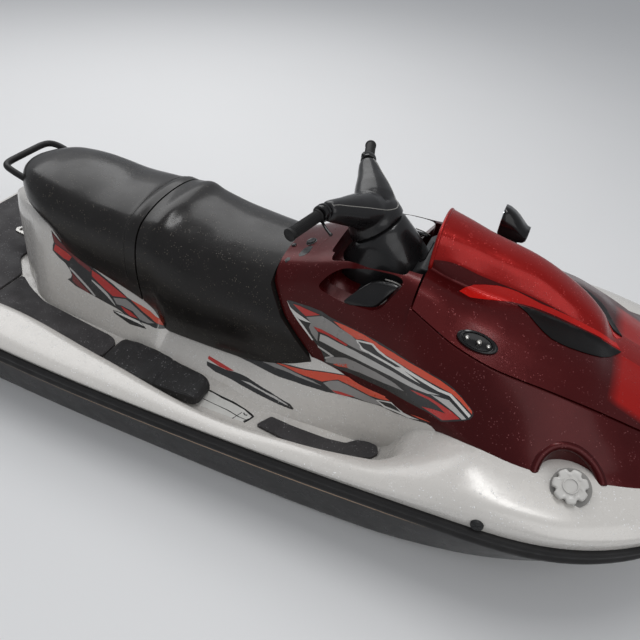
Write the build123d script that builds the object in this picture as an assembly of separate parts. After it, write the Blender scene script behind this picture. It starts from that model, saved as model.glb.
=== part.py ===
from build123d import *
import math
import os

os.makedirs("parts", exist_ok=True)

# Frame: millimetres, +X to the bow, +Y to port, +Z up, origin amidships on the waterline.
length = 3140
half_beam = 615
bow_x = length / 2
stern_x = -1560
rail_stand_off = 16
rail_height = 46
rail_side_gap = 22
joint_gap = 5
skin_gap = 0.6
wall = 9
floor_z = 140
stations = [-1560, -1250, -900, -450, 0, 250, 470, 560, 750, 950, 1120, 1260, 1380, 1470, 1530, 1554]


def rail_y(x):
    if x > 750:
        return half_beam * (1 - ((x - 750) / (bow_x - 750)) ** 2.73)
    if x < -400:
        return half_beam - 60 * ((-x - 400) / 1170) ** 2
    return half_beam


def rail_z(x):
    return 231 + (193.5 * ((x + 600) / 2180) ** 2 if x > -600 else 0)


def between(table, x):
    """Straight-line reading of a table whose rows start with x."""
    rows = sorted(table)
    if x <= rows[0][0]:
        return rows[0][1:]
    for low, high in zip(rows, rows[1:]):
        if x <= high[0]:
            t = (x - low[0]) / (high[0] - low[0])
            return tuple(a + (b - a) * t for a, b in zip(low[1:], high[1:]))
    return rows[-1][1:]


def mirrored_face(x, path):
    """Closed section at x from a half path of (y, z) with y >= 0."""
    near = [(x, -y, z) for y, z in path]
    far = [(x, y, z) for y, z in reversed(path) if y > 0]
    return make_face(Polyline(*near, *far, close=True))


def mirrored_loft(rows):
    """Ruled body through sections given as (x, half path)."""
    return loft([mirrored_face(x, path) for x, path in rows], ruled=True)


def paths(table):
    return [(row[0], list(zip(row[1::2], row[2::2]))) for row in table]


def rod(start, end, radius):
    a = Vector(*start)
    b = Vector(*end)
    plane = Plane(origin=a, z_dir=b - a)
    return extrude(plane * Circle(radius), (b - a).length)


def cone_between(start, end, r_start, r_end):
    a = Vector(*start)
    b = Vector(*end)
    direction = b - a
    low = Plane(origin=a, z_dir=direction) * Circle(r_start)
    high = Plane(origin=b, z_dir=direction) * Circle(r_end)
    return loft([low, high])


def side_prism(points, y_low, y_high):
    """Block cut to an outline in the XZ plane, between two y values."""
    face = make_face(Polyline(*[(x, y_low, z) for x, z in points], close=True))
    return extrude(face, amount=y_high - y_low, dir=(0, 1, 0))


def plan_prism(points, z_low, z_high):
    face = make_face(Polyline(*[(x, y, z_low) for x, y in points], close=True))
    return extrude(face, amount=z_high - z_low, dir=(0, 0, 1))


def both_sides(shape):
    return [shape, mirror(shape, about=Plane.XZ)]


def split_at(shape, boxes):
    """The solids of a shape inside each box (x, y, z ranges), without slivers."""
    found = []
    for x0, x1, y0, y1, z0, z1 in boxes:
        box = Pos((x0 + x1) / 2, (y0 + y1) / 2, (z0 + z1) / 2) * Box(x1 - x0, y1 - y0, z1 - z0)
        common = shape & box
        if common is not None:
            found += [s for s in common.solids() if s.volume > 2000]
    return found


def save(node, shapes):
    solids = []
    for shape in shapes if isinstance(shapes, (list, tuple)) else [shapes]:
        solids += list(shape.solids())
    body = solids[0] if len(solids) == 1 else Compound(children=solids)
    export_step(body, f"parts/{node}.step")


# Hull bottom: keel height, chine, flat outside the chine.
hull_lines = [
    # x, keel z, chine y, chine z
    (-1560, -192, 500, -22),
    (-1250, -198, 515, -22),
    (-900, -200, 525, -20),
    (-450, -200, 532, -16),
    (0, -200, 532, -10),
    (250, -200, 530, -2),
    (470, -197, 522, 8),
    (560, -195, 516, 14),
    (750, -180, 490, 40),
    (950, -148, 436, 80),
    (1120, -102, 362, 124),
    (1260, -42, 280, 172),
    (1380, 38, 190, 224),
    (1470, 130, 105, 274),
    (1530, 235, 44, 322),
    (1554, 318, 16, 350),
]
deck_lines = [
    # x, outer y z, top y z, crest y z, floor edge y z, middle z, underside z
    (-1560, 545, 241, 505, 246, 455, 238, 440, 152, 152, 110),
    (-1250, 573, 246, 520, 258, 425, 256, 405, 145, 145, 110),
    (-900, 595, 247, 545, 260, 430, 262, 400, 140, 140, 108),
    (-450, 606, 248, 560, 262, 488, 264, 445, 140, 140, 108),
    (0, 607, 262, 585, 268, 548, 268, 470, 140, 140, 108),
    (250, 607, 280, 575, 290, 540, 288, 455, 142, 142, 108),
    (470, 607, 303, 570, 318, 514, 312, 430, 165, 165, 120),
    (560, 607, 318, 568, 336, 500, 340, 432, 318, 318, 200),
    (750, 606, 348, 576, 380, 500, 398, 420, 405, 405, 258),
    (950, 593, 370, 562, 398, 490, 414, 425, 424, 426, 281),
    (1120, 535, 390, 500, 415, 445, 430, 400, 436, 446, 304),
    (1260, 437, 407, 402, 430, 360, 443, 330, 450, 458, 325),
    (1380, 306, 420, 276, 440, 238, 452, 200, 458, 466, 344),
    (1470, 175, 427, 152, 440, 120, 450, 90, 455, 462, 358),
    (1530, 72, 430, 60, 438, 45, 445, 30, 449, 452, 368),
    (1554, 26, 429, 21, 434, 15, 438, 9, 440, 441, 373),
]


def parting(x):
    """Half path of the joint between hull and deck, from the rail inwards."""
    edge_y = rail_y(x) - rail_stand_off
    edge_z = rail_z(x) - rail_side_gap
    row = between(deck_lines, x)
    ledge_y = max(edge_y - 30, edge_y * 0.75)
    inner_y = min(row[6] + 28, ledge_y * 0.9)
    return edge_y, edge_z, ledge_y, inner_y, row[9]


def hull_section(x):
    keel_z, chine_y, chine_z = between(hull_lines, x)
    edge_y, edge_z, ledge_y, inner_y, under_z = parting(x)
    step_y = chine_y + (edge_y - chine_y) * 0.35
    step_z = chine_z + (edge_z - 30 - chine_z) * 0.08
    low_z = edge_z - 26
    return [(0, keel_z), (chine_y, chine_z), (step_y, step_z), (edge_y, low_z), (edge_y, edge_z),
            (ledge_y, edge_z), (inner_y, under_z), (0, under_z)]


def deck_section(x):
    edge_y, edge_z, ledge_y, inner_y, under_z = parting(x)
    row = between(deck_lines, x)
    return [(0, under_z), (inner_y, under_z), (ledge_y, edge_z), (edge_y, edge_z),
            (edge_y, rail_z(x) + 2), (row[0], row[1]), (row[2], row[3]), (row[4], row[5]),
            (row[6], row[7]), (0, row[8])]


hull_block = mirrored_loft([(x, hull_section(x)) for x in stations])
deck_base = mirrored_loft([(x, deck_section(x)) for x in stations])

# Pedestal: base edge, edge under the seat skirt, top under the seat.
pedestal_lines = [
    # x, base y, side y, side z, top y, top z
    (-1168, 52, 42, 400, 34, 436),
    (-1100, 128, 104, 410, 88, 448),
    (-1030, 180, 140, 425, 122, 454),
    (-950, 240, 172, 446, 145, 458),
    (-890, 262, 186, 448, 150, 458),
    (-800, 275, 190, 362, 150, 446),
    (-600, 292, 200, 312, 150, 436),
    (-430, 306, 208, 268, 150, 430),
    (-370, 314, 215, 190, 150, 426),
    (-100, 345, 222, 198, 150, 424),
    (80, 370, 232, 258, 150, 424),
    (180, 362, 240, 312, 150, 424),
    (300, 352, 265, 338, 150, 424),
    (470, 352, 320, 372, 150, 424),
    (560, 385, 350, 388, 150, 424),
    (640, 400, 380, 398, 150, 424),
]


def pedestal_rows(grow):
    rows = []
    for x, base_y, side_y, side_z, top_y, top_z in pedestal_lines:
        reach = grow if x > -1168 else grow * 0.6
        start = x - grow if x == -1168 else x
        rows.append((start, [(0, floor_z - 20), (base_y + reach, floor_z - 20), (side_y + reach, side_z),
                             (top_y + reach, top_z + grow), (0, top_z + grow)]))
    return rows


pedestal = mirrored_loft(pedestal_rows(0))
pedestal_clear = mirrored_loft(pedestal_rows(joint_gap + 1))

# Engine bay, reached through the hole under the rear seat.
bay = (-780, 60, 170, -120, 404)
hatch = (-760, -480, 112)
hatch_cut = Pos((hatch[0] + hatch[1]) / 2, 0, 430) * Box(hatch[1] - hatch[0], 2 * hatch[2], 120)
bay_notch = Pos((bay[0] + bay[1]) / 2, 0, 300) * Box(bay[1] - bay[0], 200, 260)

# Jet tunnel and intake.
pump_z = -82
pump_r = 84
tunnel_front = -1150
tunnel = Pos((stern_x - 2 + tunnel_front) / 2, 0, pump_z - 10) * Box(tunnel_front - stern_x + 2, 250, 240)
duct = loft([
    Plane(origin=(tunnel_front - 1, 0, pump_z), z_dir=(1, 0, 0)) * Circle(76),
    Plane(origin=(-860, 0, -150), z_dir=(1, 0, 0)) * Circle(72),
])
intake_points = [(-1150, -120), (-960, -150), (-640, -198), (-640, -240), (-1150, -240)]
intake = side_prism(intake_points, -75, 75)
shaft_r = 13
running_gap = 0.4
shaft_bore = rod((-1000, 0, pump_z), (-760, 0, pump_z), shaft_r + running_gap)
bucket_pivot = (-1420, -60)
bucket_r = 140
bucket_side = 108
room_top = bucket_pivot[1] + bucket_r + 5
bucket_room = Pos(-1476, 0, (room_top - 165) / 2) * Box(170, 2 * bucket_side + 84, room_top + 165)

# Front storage and rear bin wells.
bow_well = Pos(865, 0, 457) * Box(450, 330, 485)
hinge_x = 1348
hinge_z = 466
hinge_recess = Pos(hinge_x - 2, 0, 490) * Box(44, 150, 80)
deck = deck_base + (pedestal - hull_block) - hinge_recess
deck = deck - bay_notch - hatch_cut - bow_well
hull = hull_block - tunnel - bucket_room - duct - intake - shaft_bore - bow_well
hull_bay = Pos((bay[0] + bay[1]) / 2, 0, 0) * Box(bay[1] - bay[0], 2 * bay[2], 240)
hull = hull - hull_bay
deck = deck - Pos((bay[0] + bay[1]) / 2, 0, 120) * Box(bay[1] - bay[0], 200, 100)
far = 2000
hull_cells = [(-far, tunnel_front, -far, -125, -far, 112), (-far, tunnel_front, -125, 125, -far, 112),
              (-far, tunnel_front, 125, far, -far, 112), (tunnel_front, 250, -far, far, -far, 112),
              (250, 470, -far, far, -far, 122), (470, 640, -far, far, -far, far),
              (640, 1090, -far, -165, -far, far), (640, 1090, -165, 165, -far, far),
              (640, 1090, 165, far, -far, far), (1090, 1350, -far, far, -far, far), (1350, far, -far, far, -far, far)]
for x0, x1, low in [(-far, -900, 112), (-900, 0, 112), (0, 250, 112), (250, 470, 122)]:
    hull_cells += [(x0, x1, -far, 0, low, far), (x0, x1, 0, far, low, far)]
save("hull_bottom", split_at(hull, hull_cells))

engine = Pos(-330, 0, 20) * Box(440, 180, 280)
save("engine_block", engine)

# Rub rail round the whole edge, open at nothing: outer band less the hull and deck edge.
rail_rows_out = []
rail_rows_in = []
for x in stations:
    z_top = rail_z(x)
    y_out = rail_y(x)
    rail_rows_out.append((x, [(0, z_top - rail_height), (y_out - 5, z_top - rail_height), (y_out, z_top - 34),
                              (y_out, z_top - 8), (y_out - 6, z_top), (0, z_top)]))
    rail_rows_in.append((x, [(0, z_top - 90), (y_out - rail_stand_off, z_top - 90),
                             (y_out - rail_stand_off, z_top + 40), (0, z_top + 40)]))
rail = mirrored_loft(rail_rows_out) - mirrored_loft(rail_rows_in)
nose_cap = Pos(1561.5, 0, rail_z(1560) - 23) * Box(15, 44, rail_height)
tail_cap = Pos(stern_x - 5, 0, 129) * Box(9, 1000, 34)
rail = rail + nose_cap
rail_cells = []
for x0, x1 in [(-far, -700), (-700, 350), (350, 950), (950, 1260), (1260, 1470)]:
    rail_cells += [(x0, x1, -far, 0, -far, far), (x0, x1, 0, far, -far, far)]
save("rub_rail", split_at(rail, rail_cells + [(1470, far, -far, far, -far, far)]) + [tail_cap])

# Hood lines, shared by the hood and the cowl's seat for it.
hood_lines = [
    # x, seam y z, shoulder y z, valley y z, hump side y z, hump top y z, middle z
    (452, 250, 652, 196, 698, 112, 706, 112, 735, 84, 806, 826),
    (500, 262, 634, 190, 690, 110, 690, 105, 740, 72, 800, 815),
    (600, 285, 602, 187, 662, 100, 668, 93, 718, 62, 778, 787),
    (725, 300, 582, 186, 645, 95, 660, 86, 700, 58, 752, 762),
    (870, 296, 569, 178, 622, 85, 634, 75, 662, 50, 692, 700),
    (960, 283, 550, 168, 596, 66, 602, 52, 612, 35, 632, 638),
    (1000, 276, 540, 162, 574, 62, 578, 48, 580, 30, 582, 584),
    (1050, 266, 525, 150, 556, 62, 562, 45, 564, 30, 565, 566),
    (1150, 240, 495, 130, 525, 60, 532, 45, 534, 30, 535, 536),
    (1270, 180, 476, 100, 492, 60, 496, 45, 497, 30, 498, 498),
    (1340, 120, 476, 75, 482, 50, 485, 38, 486, 26, 486, 486),
]

# Cowl: solid form over the front of the pedestal with a flat seat for the hood.
cowl_rear = [
    # x, then y z pairs from the lower edge to the middle
    (-60, 212, 150, 212, 240, 190, 380, 150, 520, 110, 560, 0, 568),
    (60, 222, 150, 222, 270, 208, 400, 172, 560, 128, 608, 0, 622),
    (150, 228, 150, 228, 300, 218, 430, 194, 595, 148, 650, 0, 664),
    (250, 250, 150, 250, 325, 236, 450, 212, 605, 176, 692, 0, 696),
    (350, 285, 150, 285, 350, 262, 470, 228, 600, 188, 700, 0, 704),
    (445, 315, 150, 315, 368, 288, 490, 246, 638, 186, 700, 0, 706),
]
cowl_front = [
    # x, lower y z, flank y z; the hood's seat follows the hood's seam
    (445, 315, 368, 288, 490),
    (500, 335, 380, 306, 500),
    (600, 368, 397, 336, 490),
    (725, 420, 402, 368, 480),
    (870, 450, 407, 384, 470),
    (960, 440, 420, 372, 468),
    (1050, 425, 424, 358, 460),
    (1150, 395, 436, 330, 455),
    (1270, 322, 448, 272, 462),
    (1360, 215, 458, 180, 468),
    (1410, 120, 462, 90, 470),
]
cowl_nose = {1360: (100, 468), 1410: (50, 471)}
seat_front_line = [(-5, 700), (-5, 520), (52, 430), (190, 305), (400, 150), (-500, 150), (-500, 700)]
cowl_back = mirrored_loft(paths(cowl_rear))
cowl_fore_rows = []
for x, low_y, low_z, flank_y, flank_z in cowl_front:
    if x in cowl_nose:
        seat_y, seat_z = cowl_nose[x]
    else:
        seat_y, seat_z = between(hood_lines, x)[:2]
        seat_z -= joint_gap
    cowl_fore_rows.append((x, [(0, 250), (low_y, 250), (low_y, low_z), (flank_y, flank_z), (seat_y, seat_z), (0, seat_z)]))
cowl_fore = mirrored_loft(cowl_fore_rows)
cowl = cowl_back + cowl_fore
cowl = cowl - side_prism(seat_front_line, -400, 400)

# Steering cone, fixed on the cowl, on the tilted steering axis.
axis_dir = Vector(-130, 0, 300).normalized()
head = Vector(262, 0, 745)
base_face = Pos(0, 0, 566) * make_face(Polyline((170, -62), (230, -100), (400, -100), (500, -50), (500, 50),
                                                (400, 100), (230, 100), (170, 62), close=True))
top_face = Plane(origin=head, x_dir=(300, 0, 130), z_dir=axis_dir) * RegularPolygon(62, 8, rotation=22.5)
cone = loft([base_face, top_face], ruled=True)
column_r = 14
cone = cone - rod(head + axis_dir * 5, head - axis_dir * 60, column_r + running_gap)
save("steering_cone", cone)


# Channels beside the steering cone, with the see-through window in each outer wall.
channel = plan_prism([(168, -150), (300, -176), (405, -170), (405, -105), (168, -70)], 566, 800)
window_outline = [(147, 572), (180, 625), (221, 661), (300, 684), (380, 690), (409, 684), (353, 584), (235, 566)]
window = side_prism(window_outline, -330, -120)
for cut in (channel, window):
    for one in both_sides(cut):
        cowl = cowl - one
dash_pit = plan_prism([(330, -150), (446, -150), (470, -130), (470, 130), (446, 150), (330, 150)], 618, 800)
cowl = cowl - dash_pit
cone_pocket = Pos(320, 0, 690) * Box(330, 236, 160)
cowl = cowl - cone_pocket
cap_x = 984
cap_y = 412
cap_arch = plan_prism([(cap_x - 62 * math.cos(a), -cap_y - 5 - 62 * math.sin(a)) for a in
                       [k * math.pi / 12 for k in range(-12, 13)]][:-1], 300, 600)
for one in both_sides(cap_arch):
    cowl = cowl - one
cowl = cowl - bow_well - cone - hinge_recess
cowl = cowl - deck - hull
cowl_solids = sorted(cowl.solids(), key=lambda s: s.volume, reverse=True)
cowl = cowl_solids[0]
save("cowl", cowl)

# Seats.
rear_seat_lines = [
    (-1085, 20, 522, 27, 548, 24, 570, 12, 578, 0, 579),
    (-1060, 70, 504, 84, 536, 77, 578, 40, 592, 0, 596),
    (-1020, 118, 490, 134, 528, 123, 585, 62, 604, 0, 609),
    (-950, 165, 478, 184, 515, 161, 590, 85, 617, 0, 622),
    (-880, 190, 455, 207, 505, 178, 588, 95, 621, 0, 628),
    (-800, 196, 368, 214, 480, 188, 582, 100, 617, 0, 626),
    (-650, 204, 325, 224, 460, 196, 572, 105, 608, 0, 618),
    (-540, 210, 298, 232, 450, 205, 568, 110, 606, 0, 616),
    (-447, 216, 276, 240, 440, 212, 570, 115, 610, 0, 620),
]
front_seat_lines = [
    (-441, 216, 275, 240, 440, 212, 570, 115, 610, 0, 620),
    (-380, 226, 193, 250, 400, 214, 560, 115, 600, 0, 612),
    (-250, 230, 196, 256, 380, 205, 545, 108, 583, 0, 596),
    (-100, 232, 201, 246, 380, 190, 540, 100, 575, 0, 586),
    (20, 236, 230, 236, 380, 172, 540, 90, 575, 0, 584),
    (100, 239, 264, 232, 390, 165, 545, 85, 580, 0, 590),
    (195, 241, 318, 228, 400, 160, 550, 80, 585, 0, 595),
]


def seat_rows(table):
    rows = []
    for x, path in paths(table):
        rows.append((x, [(0, path[0][1])] + path))
    return rows


rear_seat = mirrored_loft(seat_rows(rear_seat_lines)) - pedestal_clear
rear_seat = max(rear_seat.solids(), key=lambda s: s.volume)
save("seat_rear", rear_seat)
front_gap = side_prism([(x + (-4 if x < 300 else 0), z - (4 if 150 < z < 700 else 0)) for x, z in
                        seat_front_line], -400, 400)
front_seat = mirrored_loft(seat_rows(front_seat_lines)) & front_gap
front_seat = front_seat - deck
front_seat = max(front_seat.solids(), key=lambda s: s.volume)
save("seat_front", front_seat)
floor_line = [(x, between(deck_lines, x)[6]) for x in stations if x <= 470] + [(520, between(deck_lines, 520)[6])]
floor_inside = plan_prism([(x, -y) for x, y in floor_line] + [(x, y) for x, y in reversed(floor_line)], -100, 900)
deck_low = deck & deck_base
deck_high = deck - deck_base
deck_rear = deck_low & (Pos(520 - far / 2, 0, 0) * Box(far, far, far))
deck_solids = split_at(deck_rear & floor_inside, [(-far, -900, -far, far, -far, far), (-900, 250, -far, far, -far, far),
                                                  (250, 430, -far, far, -far, far), (430, far, -far, far, -far, far)])
deck_solids += split_at(deck_rear - floor_inside, [(-far, -450, -far, 0, -far, far), (-far, -450, 0, far, -far, far),
                                                   (-450, far, -far, 0, -far, far), (-450, far, 0, far, -far, far)])
deck_solids += split_at(deck_low, [(520, 640, -far, far, -far, far), (640, 1090, -far, -165, -far, far),
                                   (640, 1090, 165, far, -far, far), (1090, far, -far, far, -far, far)])
deck_solids += split_at(deck_high, [(-far, -780, -far, far, -far, far), (-780, 60, -far, -100, -far, far),
                                    (-780, 60, -100, 100, -far, far), (-780, 60, 100, far, -far, far),
                                    (60, far, -far, far, -far, far)])
save("deck", deck_solids)

# Grab handle on the rear seat base: bent tube.
grip_points = [(-1000, 120, 560), (-1070, 122, 582), (-1108, 108, 588), (-1116, 80, 588)]
handle = None
handle_path = grip_points + [(x, -y, z) for x, y, z in reversed(grip_points)]
for a, b in zip(handle_path, handle_path[1:]):
    piece = rod(a, b, 12) + Pos(*b) * Sphere(12)
    handle = piece if handle is None else handle + piece
handle = handle - rear_seat
handle = max(handle.solids(), key=lambda s: s.volume)
save("grab_handle", handle)

# Hood shell: band sections, hinged at the bow end.
hood_wall = 8


def hood_rows():
    rows = []
    for row in hood_lines:
        outer = list(zip(row[1:11:2], row[2:12:2]))
        outer.append((0, row[11]))
        inner = [(y - hood_wall if y > 0 else 0, z - hood_wall) for y, z in outer]
        inner[0] = (outer[0][0] - hood_wall, outer[0][1])
        near = [(row[0], -y, z) for y, z in outer]
        far = [(row[0], y, z) for y, z in reversed(outer[:-1])]
        back = [(row[0], y, z) for y, z in inner]
        home = [(row[0], -y, z) for y, z in reversed(inner[:-1])]
        rows.append(make_face(Polyline(*near, *far, *back, *home, close=True)))
    return rows


hood = loft(hood_rows(), ruled=True)
save("hood", hood)

# Instrument pod in front of the steering cone.
pod_outline = [(392, 612), (462, 612), (462, 690), (430, 690), (408, 672)]
pod = side_prism(pod_outline, -108, 108) - cowl - cone
pod = max(pod.solids(), key=lambda v: v.volume)
save("instrument_pod", pod)
dial_plane = Plane(origin=(419.2, 0, 681.4), z_dir=(-18, 0, 22))
dial = extrude(dial_plane * (Rot(0, 0, 90) * SlotOverall(120, 22)), 2.5) - cone
save("instrument_display", dial)

# Steering: the cover turns on the cone, with the bar, grips and levers.
cover_low = Plane(origin=head + axis_dir * 6, x_dir=(300, 0, 130), z_dir=axis_dir)
cover_high = Plane(origin=head + axis_dir * 78, x_dir=(300, 0, 130), z_dir=axis_dir)
cover = loft([cover_low * RegularPolygon(62, 12), cover_high * RegularPolygon(45, 12)], ruled=True)
grip_in = (138, 205, 824)
grip_out = (103, 327, 813)
for side in (-1, 1):
    arm_dir = Vector(150 - 226, side * 145, 24)
    arm_low = Plane(origin=(226, side * 20, 800), z_dir=arm_dir) * RegularPolygon(43, 10)
    arm_high = Plane(origin=(150, side * 165, 824), z_dir=arm_dir) * RegularPolygon(31, 10)
    arm = loft([arm_low, arm_high], ruled=True)
    cover = cover + arm
bar = rod(head + axis_dir * 60, head - axis_dir * 58, column_r)
for side in (-1, 1):
    bar = bar + rod((238, 0, 800), (150, side * 150, 826), 11) + Pos(150, side * 150, 826) * Sphere(11)
    bar = bar + rod((150, side * 150, 826), (grip_out[0] + 4, side * (grip_out[1] - 6), grip_out[2]), 11)
bar = max(bar.solids(), key=lambda v: v.volume)
save("handlebar", bar)
save("steering_cover", cover - bar)
grips = []
for side in (-1, 1):
    sleeve = rod((grip_in[0], side * grip_in[1], grip_in[2]), (grip_out[0], side * grip_out[1], grip_out[2]), 17)
    grips.append(sleeve - bar)
save("grips", grips)

# Jet pump.
pump_axis = Plane(origin=(tunnel_front, 0, pump_z), z_dir=(-1, 0, 0))
housing = extrude(pump_axis * Circle(pump_r + 8), 220) - extrude(pump_axis * Circle(pump_r - 8), 220)
flange = extrude(pump_axis * Circle(pump_r + 20), 12) - extrude(pump_axis * Circle(pump_r - 8), 12)
housing = housing + flange
save("pump_housing", housing)
stator_plane = Plane(origin=(-1290, 0, pump_z), z_dir=(-1, 0, 0))
hub = extrude(stator_plane * Circle(28), 78)
stator = hub
for k in range(7):
    vane = Pos(-1330, 0, pump_z) * (Rot(k * 360 / 7, 0, 0) * (Pos(0, 0, 51) * Rot(0, 0, 12) * Box(70, 5, 50.5)))
    stator = stator + vane
stator = stator - (extrude(stator_plane * Circle(200), 78) - extrude(stator_plane * Circle(pump_r - 8), 78))
save("pump_stator", stator)
throat_x = -1406
pivot_x = -1444
pin_r = 6
pin_gap = 0.5
cone_low = Plane(origin=(-1370, 0, pump_z), z_dir=(-1, 0, 0))
cone_high = Plane(origin=(throat_x, 0, pump_z), z_dir=(-1, 0, 0))
nozzle_fixed = loft([cone_low * Circle(pump_r + 8), cone_high * Circle(50)])
nozzle_fixed = nozzle_fixed + extrude(cone_high * Circle(50), 48)
nozzle_fixed = nozzle_fixed - loft([cone_low * Circle(pump_r - 8), cone_high * Circle(42)])
nozzle_fixed = nozzle_fixed - extrude(cone_high * Circle(42), 48)
for side in (-1, 1):
    pin_start = 43 if side > 0 else -77
    nozzle_fixed = nozzle_fixed + Pos(pivot_x, 0, pump_z + pin_start) * extrude(Circle(pin_r), 34)
save("pump_nozzle", nozzle_fixed)
steer_low = Plane(origin=(pivot_x + 14, 0, pump_z), z_dir=(-1, 0, 0))
steer_high = Plane(origin=(pivot_x - 58, 0, pump_z), z_dir=(-1, 0, 0))
steer_nozzle = loft([steer_low * Circle(71), steer_high * Circle(56)])
lever = Pos(pivot_x - 6, -80, pump_z) * Box(26, 28, 12)
steer_nozzle = steer_nozzle + lever
steer_nozzle = steer_nozzle - loft([steer_low * Circle(64), steer_high * Circle(49)])
steer_nozzle = steer_nozzle - Pos(pivot_x, 0, pump_z - 90) * extrude(Circle(pin_r + pin_gap), 180)
steer_nozzle = steer_nozzle - Pos(pivot_x - 6, -84, pump_z - 20) * extrude(Circle(4), 40)
save("steering_nozzle", steer_nozzle)

# Reverse bucket, at rest above the jet, on two side pins.
bucket_points = []
for k in range(9):
    a = math.radians(17 + k * 7.5)
    bucket_points.append((bucket_pivot[0] - bucket_r * math.cos(a), bucket_pivot[1] + bucket_r * math.sin(a)))
for k in range(8, -1, -1):
    a = math.radians(17 + k * 7.5)
    inner = bucket_r - 7
    bucket_points.append((bucket_pivot[0] - inner * math.cos(a), bucket_pivot[1] + inner * math.sin(a)))
bucket = side_prism(bucket_points, -bucket_side, bucket_side)
arm_outline = [(bucket_pivot[0] + 14, bucket_pivot[1] - 8), (bucket_pivot[0] + 10, bucket_pivot[1] + 14),
               bucket_points[8], bucket_points[0], (bucket_pivot[0] - 20, bucket_pivot[1] - 14)]
for side in (-1, 1):
    low = side * bucket_side if side < 0 else bucket_side - 7
    bucket = bucket + side_prism(arm_outline, low, low + 7)
    pin_low = -127 if side < 0 else 100
    bucket = bucket + Pos(bucket_pivot[0], 0, bucket_pivot[1]) * (
        Rot(-90, 0, 0) * (Pos(0, 0, pin_low) * extrude(Circle(pin_r), 27)))
save("reverse_bucket", bucket)
brackets = []
for side in (-1, 1):
    low = -128 if side < 0 else 116
    bracket = side_prism([(-1440, -80), (-1400, -80), (-1394, room_top), (-1450, room_top)], low, low + 12)
    bracket = bracket - Pos(bucket_pivot[0], 0, bucket_pivot[1]) * (
        Rot(-90, 0, 0) * (Pos(0, 0, -150) * extrude(Circle(pin_r + pin_gap), 300)))
    brackets.append(bracket)
save("bucket_brackets", brackets)
impeller_plane = Plane(origin=(-1190, 0, pump_z), z_dir=(-1, 0, 0))
impeller = extrude(impeller_plane * Circle(26), 90)
for k in range(3):
    blade = Pos(-1235, 0, pump_z) * (Rot(k * 120, 0, 0) * (Pos(0, 0, 48) * Rot(0, 0, 35) * Box(70, 5, 48)))
    impeller = impeller + blade
impeller = impeller & extrude(Plane(origin=(-1185, 0, pump_z), z_dir=(-1, 0, 0)) * Circle(pump_r - 13), 100)
save("impeller", impeller)
shaft = rod((-1189.5, 0, pump_z), (-560, 0, pump_z), shaft_r)
save("drive_shaft", shaft)

# Intake grate, ride plate and sponsons under the hull.
grate = None
for y in (-45, -15, 15, 45):
    slat = Pos(-880, y, -180) * Box(440, 8, 12)
    grate = slat if grate is None else grate + slat
for x in (-1080, -880, -680):
    grate = grate + Pos(x, 0, -177) * Box(12, 150, 8)
grate = grate - hull
save("intake_grate", grate)
ride_plate = Pos(-1352, 0, -192) * Box(390, 250, 6)
for side in (-1, 1):
    ride_plate = ride_plate + Pos(-1352, side * 122, -168) * Box(390, 6, 54)
for y in (-90, -30, 30, 90):
    ride_plate = ride_plate + Pos(-1352, y, -197) * Box(370, 5, 4)
ride_plate = ride_plate - hull
save("ride_plate", max(ride_plate.solids(), key=lambda v: v.volume))
fins = []
for side in (-1, 1):
    fin_rows = []
    for x, reach, drop in [(-1500, 34, 20), (-1300, 40, 26), (-1120, 30, 16)]:
        keel_z, chine_y, chine_z = between(hull_lines, x)
        quad = [(chine_y - 12, chine_z + 34), (chine_y + reach, chine_z + 30),
                (chine_y + reach, chine_z + 18 - drop), (chine_y - 12, chine_z - 4)]
        fin_rows.append(make_face(Polyline(*[(x, side * y, z) for y, z in quad], close=True)))
    fin = loft(fin_rows, ruled=True) - hull
    fins.append(max(fin.solids(), key=lambda v: v.volume))
save("sponsons", fins)

# Mats: thin pads on the floor between two plan lines.
mat_thick = 8


def mat(rows):
    """Pad on the floor; rows are (x, y low, y high)."""
    faces = []
    for x, y_low, y_high in rows:
        z = between(deck_lines, x)[8]
        faces.append(make_face(Polyline((x, y_low, z), (x, y_high, z), (x, y_high, z + mat_thick),
                                        (x, y_low, z + mat_thick), close=True)))
    return loft(faces, ruled=True)


platform = mat([(-1535, -420, 420), (-1250, -395, 395), (-1195, -390, 390)])
wings = []
for side in (-1, 1):
    rows = [(-1190, 70, 390), (-1120, 140, 388), (-1095, 165, 388)]
    wing = mat([(x, side * a, side * b) for x, a, b in rows])
    wings.append(wing)
platform = platform + [w for w in wings]
save("mat_platform", platform)
rear_mat = [(-1080, 178, 388), (-1000, 225, 390), (-900, 268, 392), (-620, 302, 418), (-545, 306, 426)]
mid_mat = [(-520, 310, 430), (-440, 316, 436), (-100, 355, 448), (60, 380, 448)]
front_mat = [(85, 378, 446), (200, 374, 446), (330, 364, 440), (430, 362, 424), (470, 380, 405)]
side_mats = [mat([(x, s * a, s * b) for x, a, b in rows]) for rows in (rear_mat, front_mat) for s in (-1, 1)]
save("mats_side", side_mats + [mat(mid_mat)])

# The starboard middle mat is peeled and folded back over itself.
fold_rows = []
for x, y_in, y_out, top in [(-530, 310, 432, 18), (-500, 312, 436, 26), (-400, 320, 440, 32),
                            (-240, 338, 446, 40), (-180, 346, 446, 36), (-152, 356, 438, 14)]:
    low = between(deck_lines, x)[8]
    lift = 8 if x == -152 else 0
    fold_rows.append(make_face(Polyline((x, -y_in, low + lift), (x, -y_out, low + lift), (x, -y_out, low + top),
                                        (x, -y_in, low + top), close=True)))
save("mat_mid_folded", loft(fold_rows, ruled=True))

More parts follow.
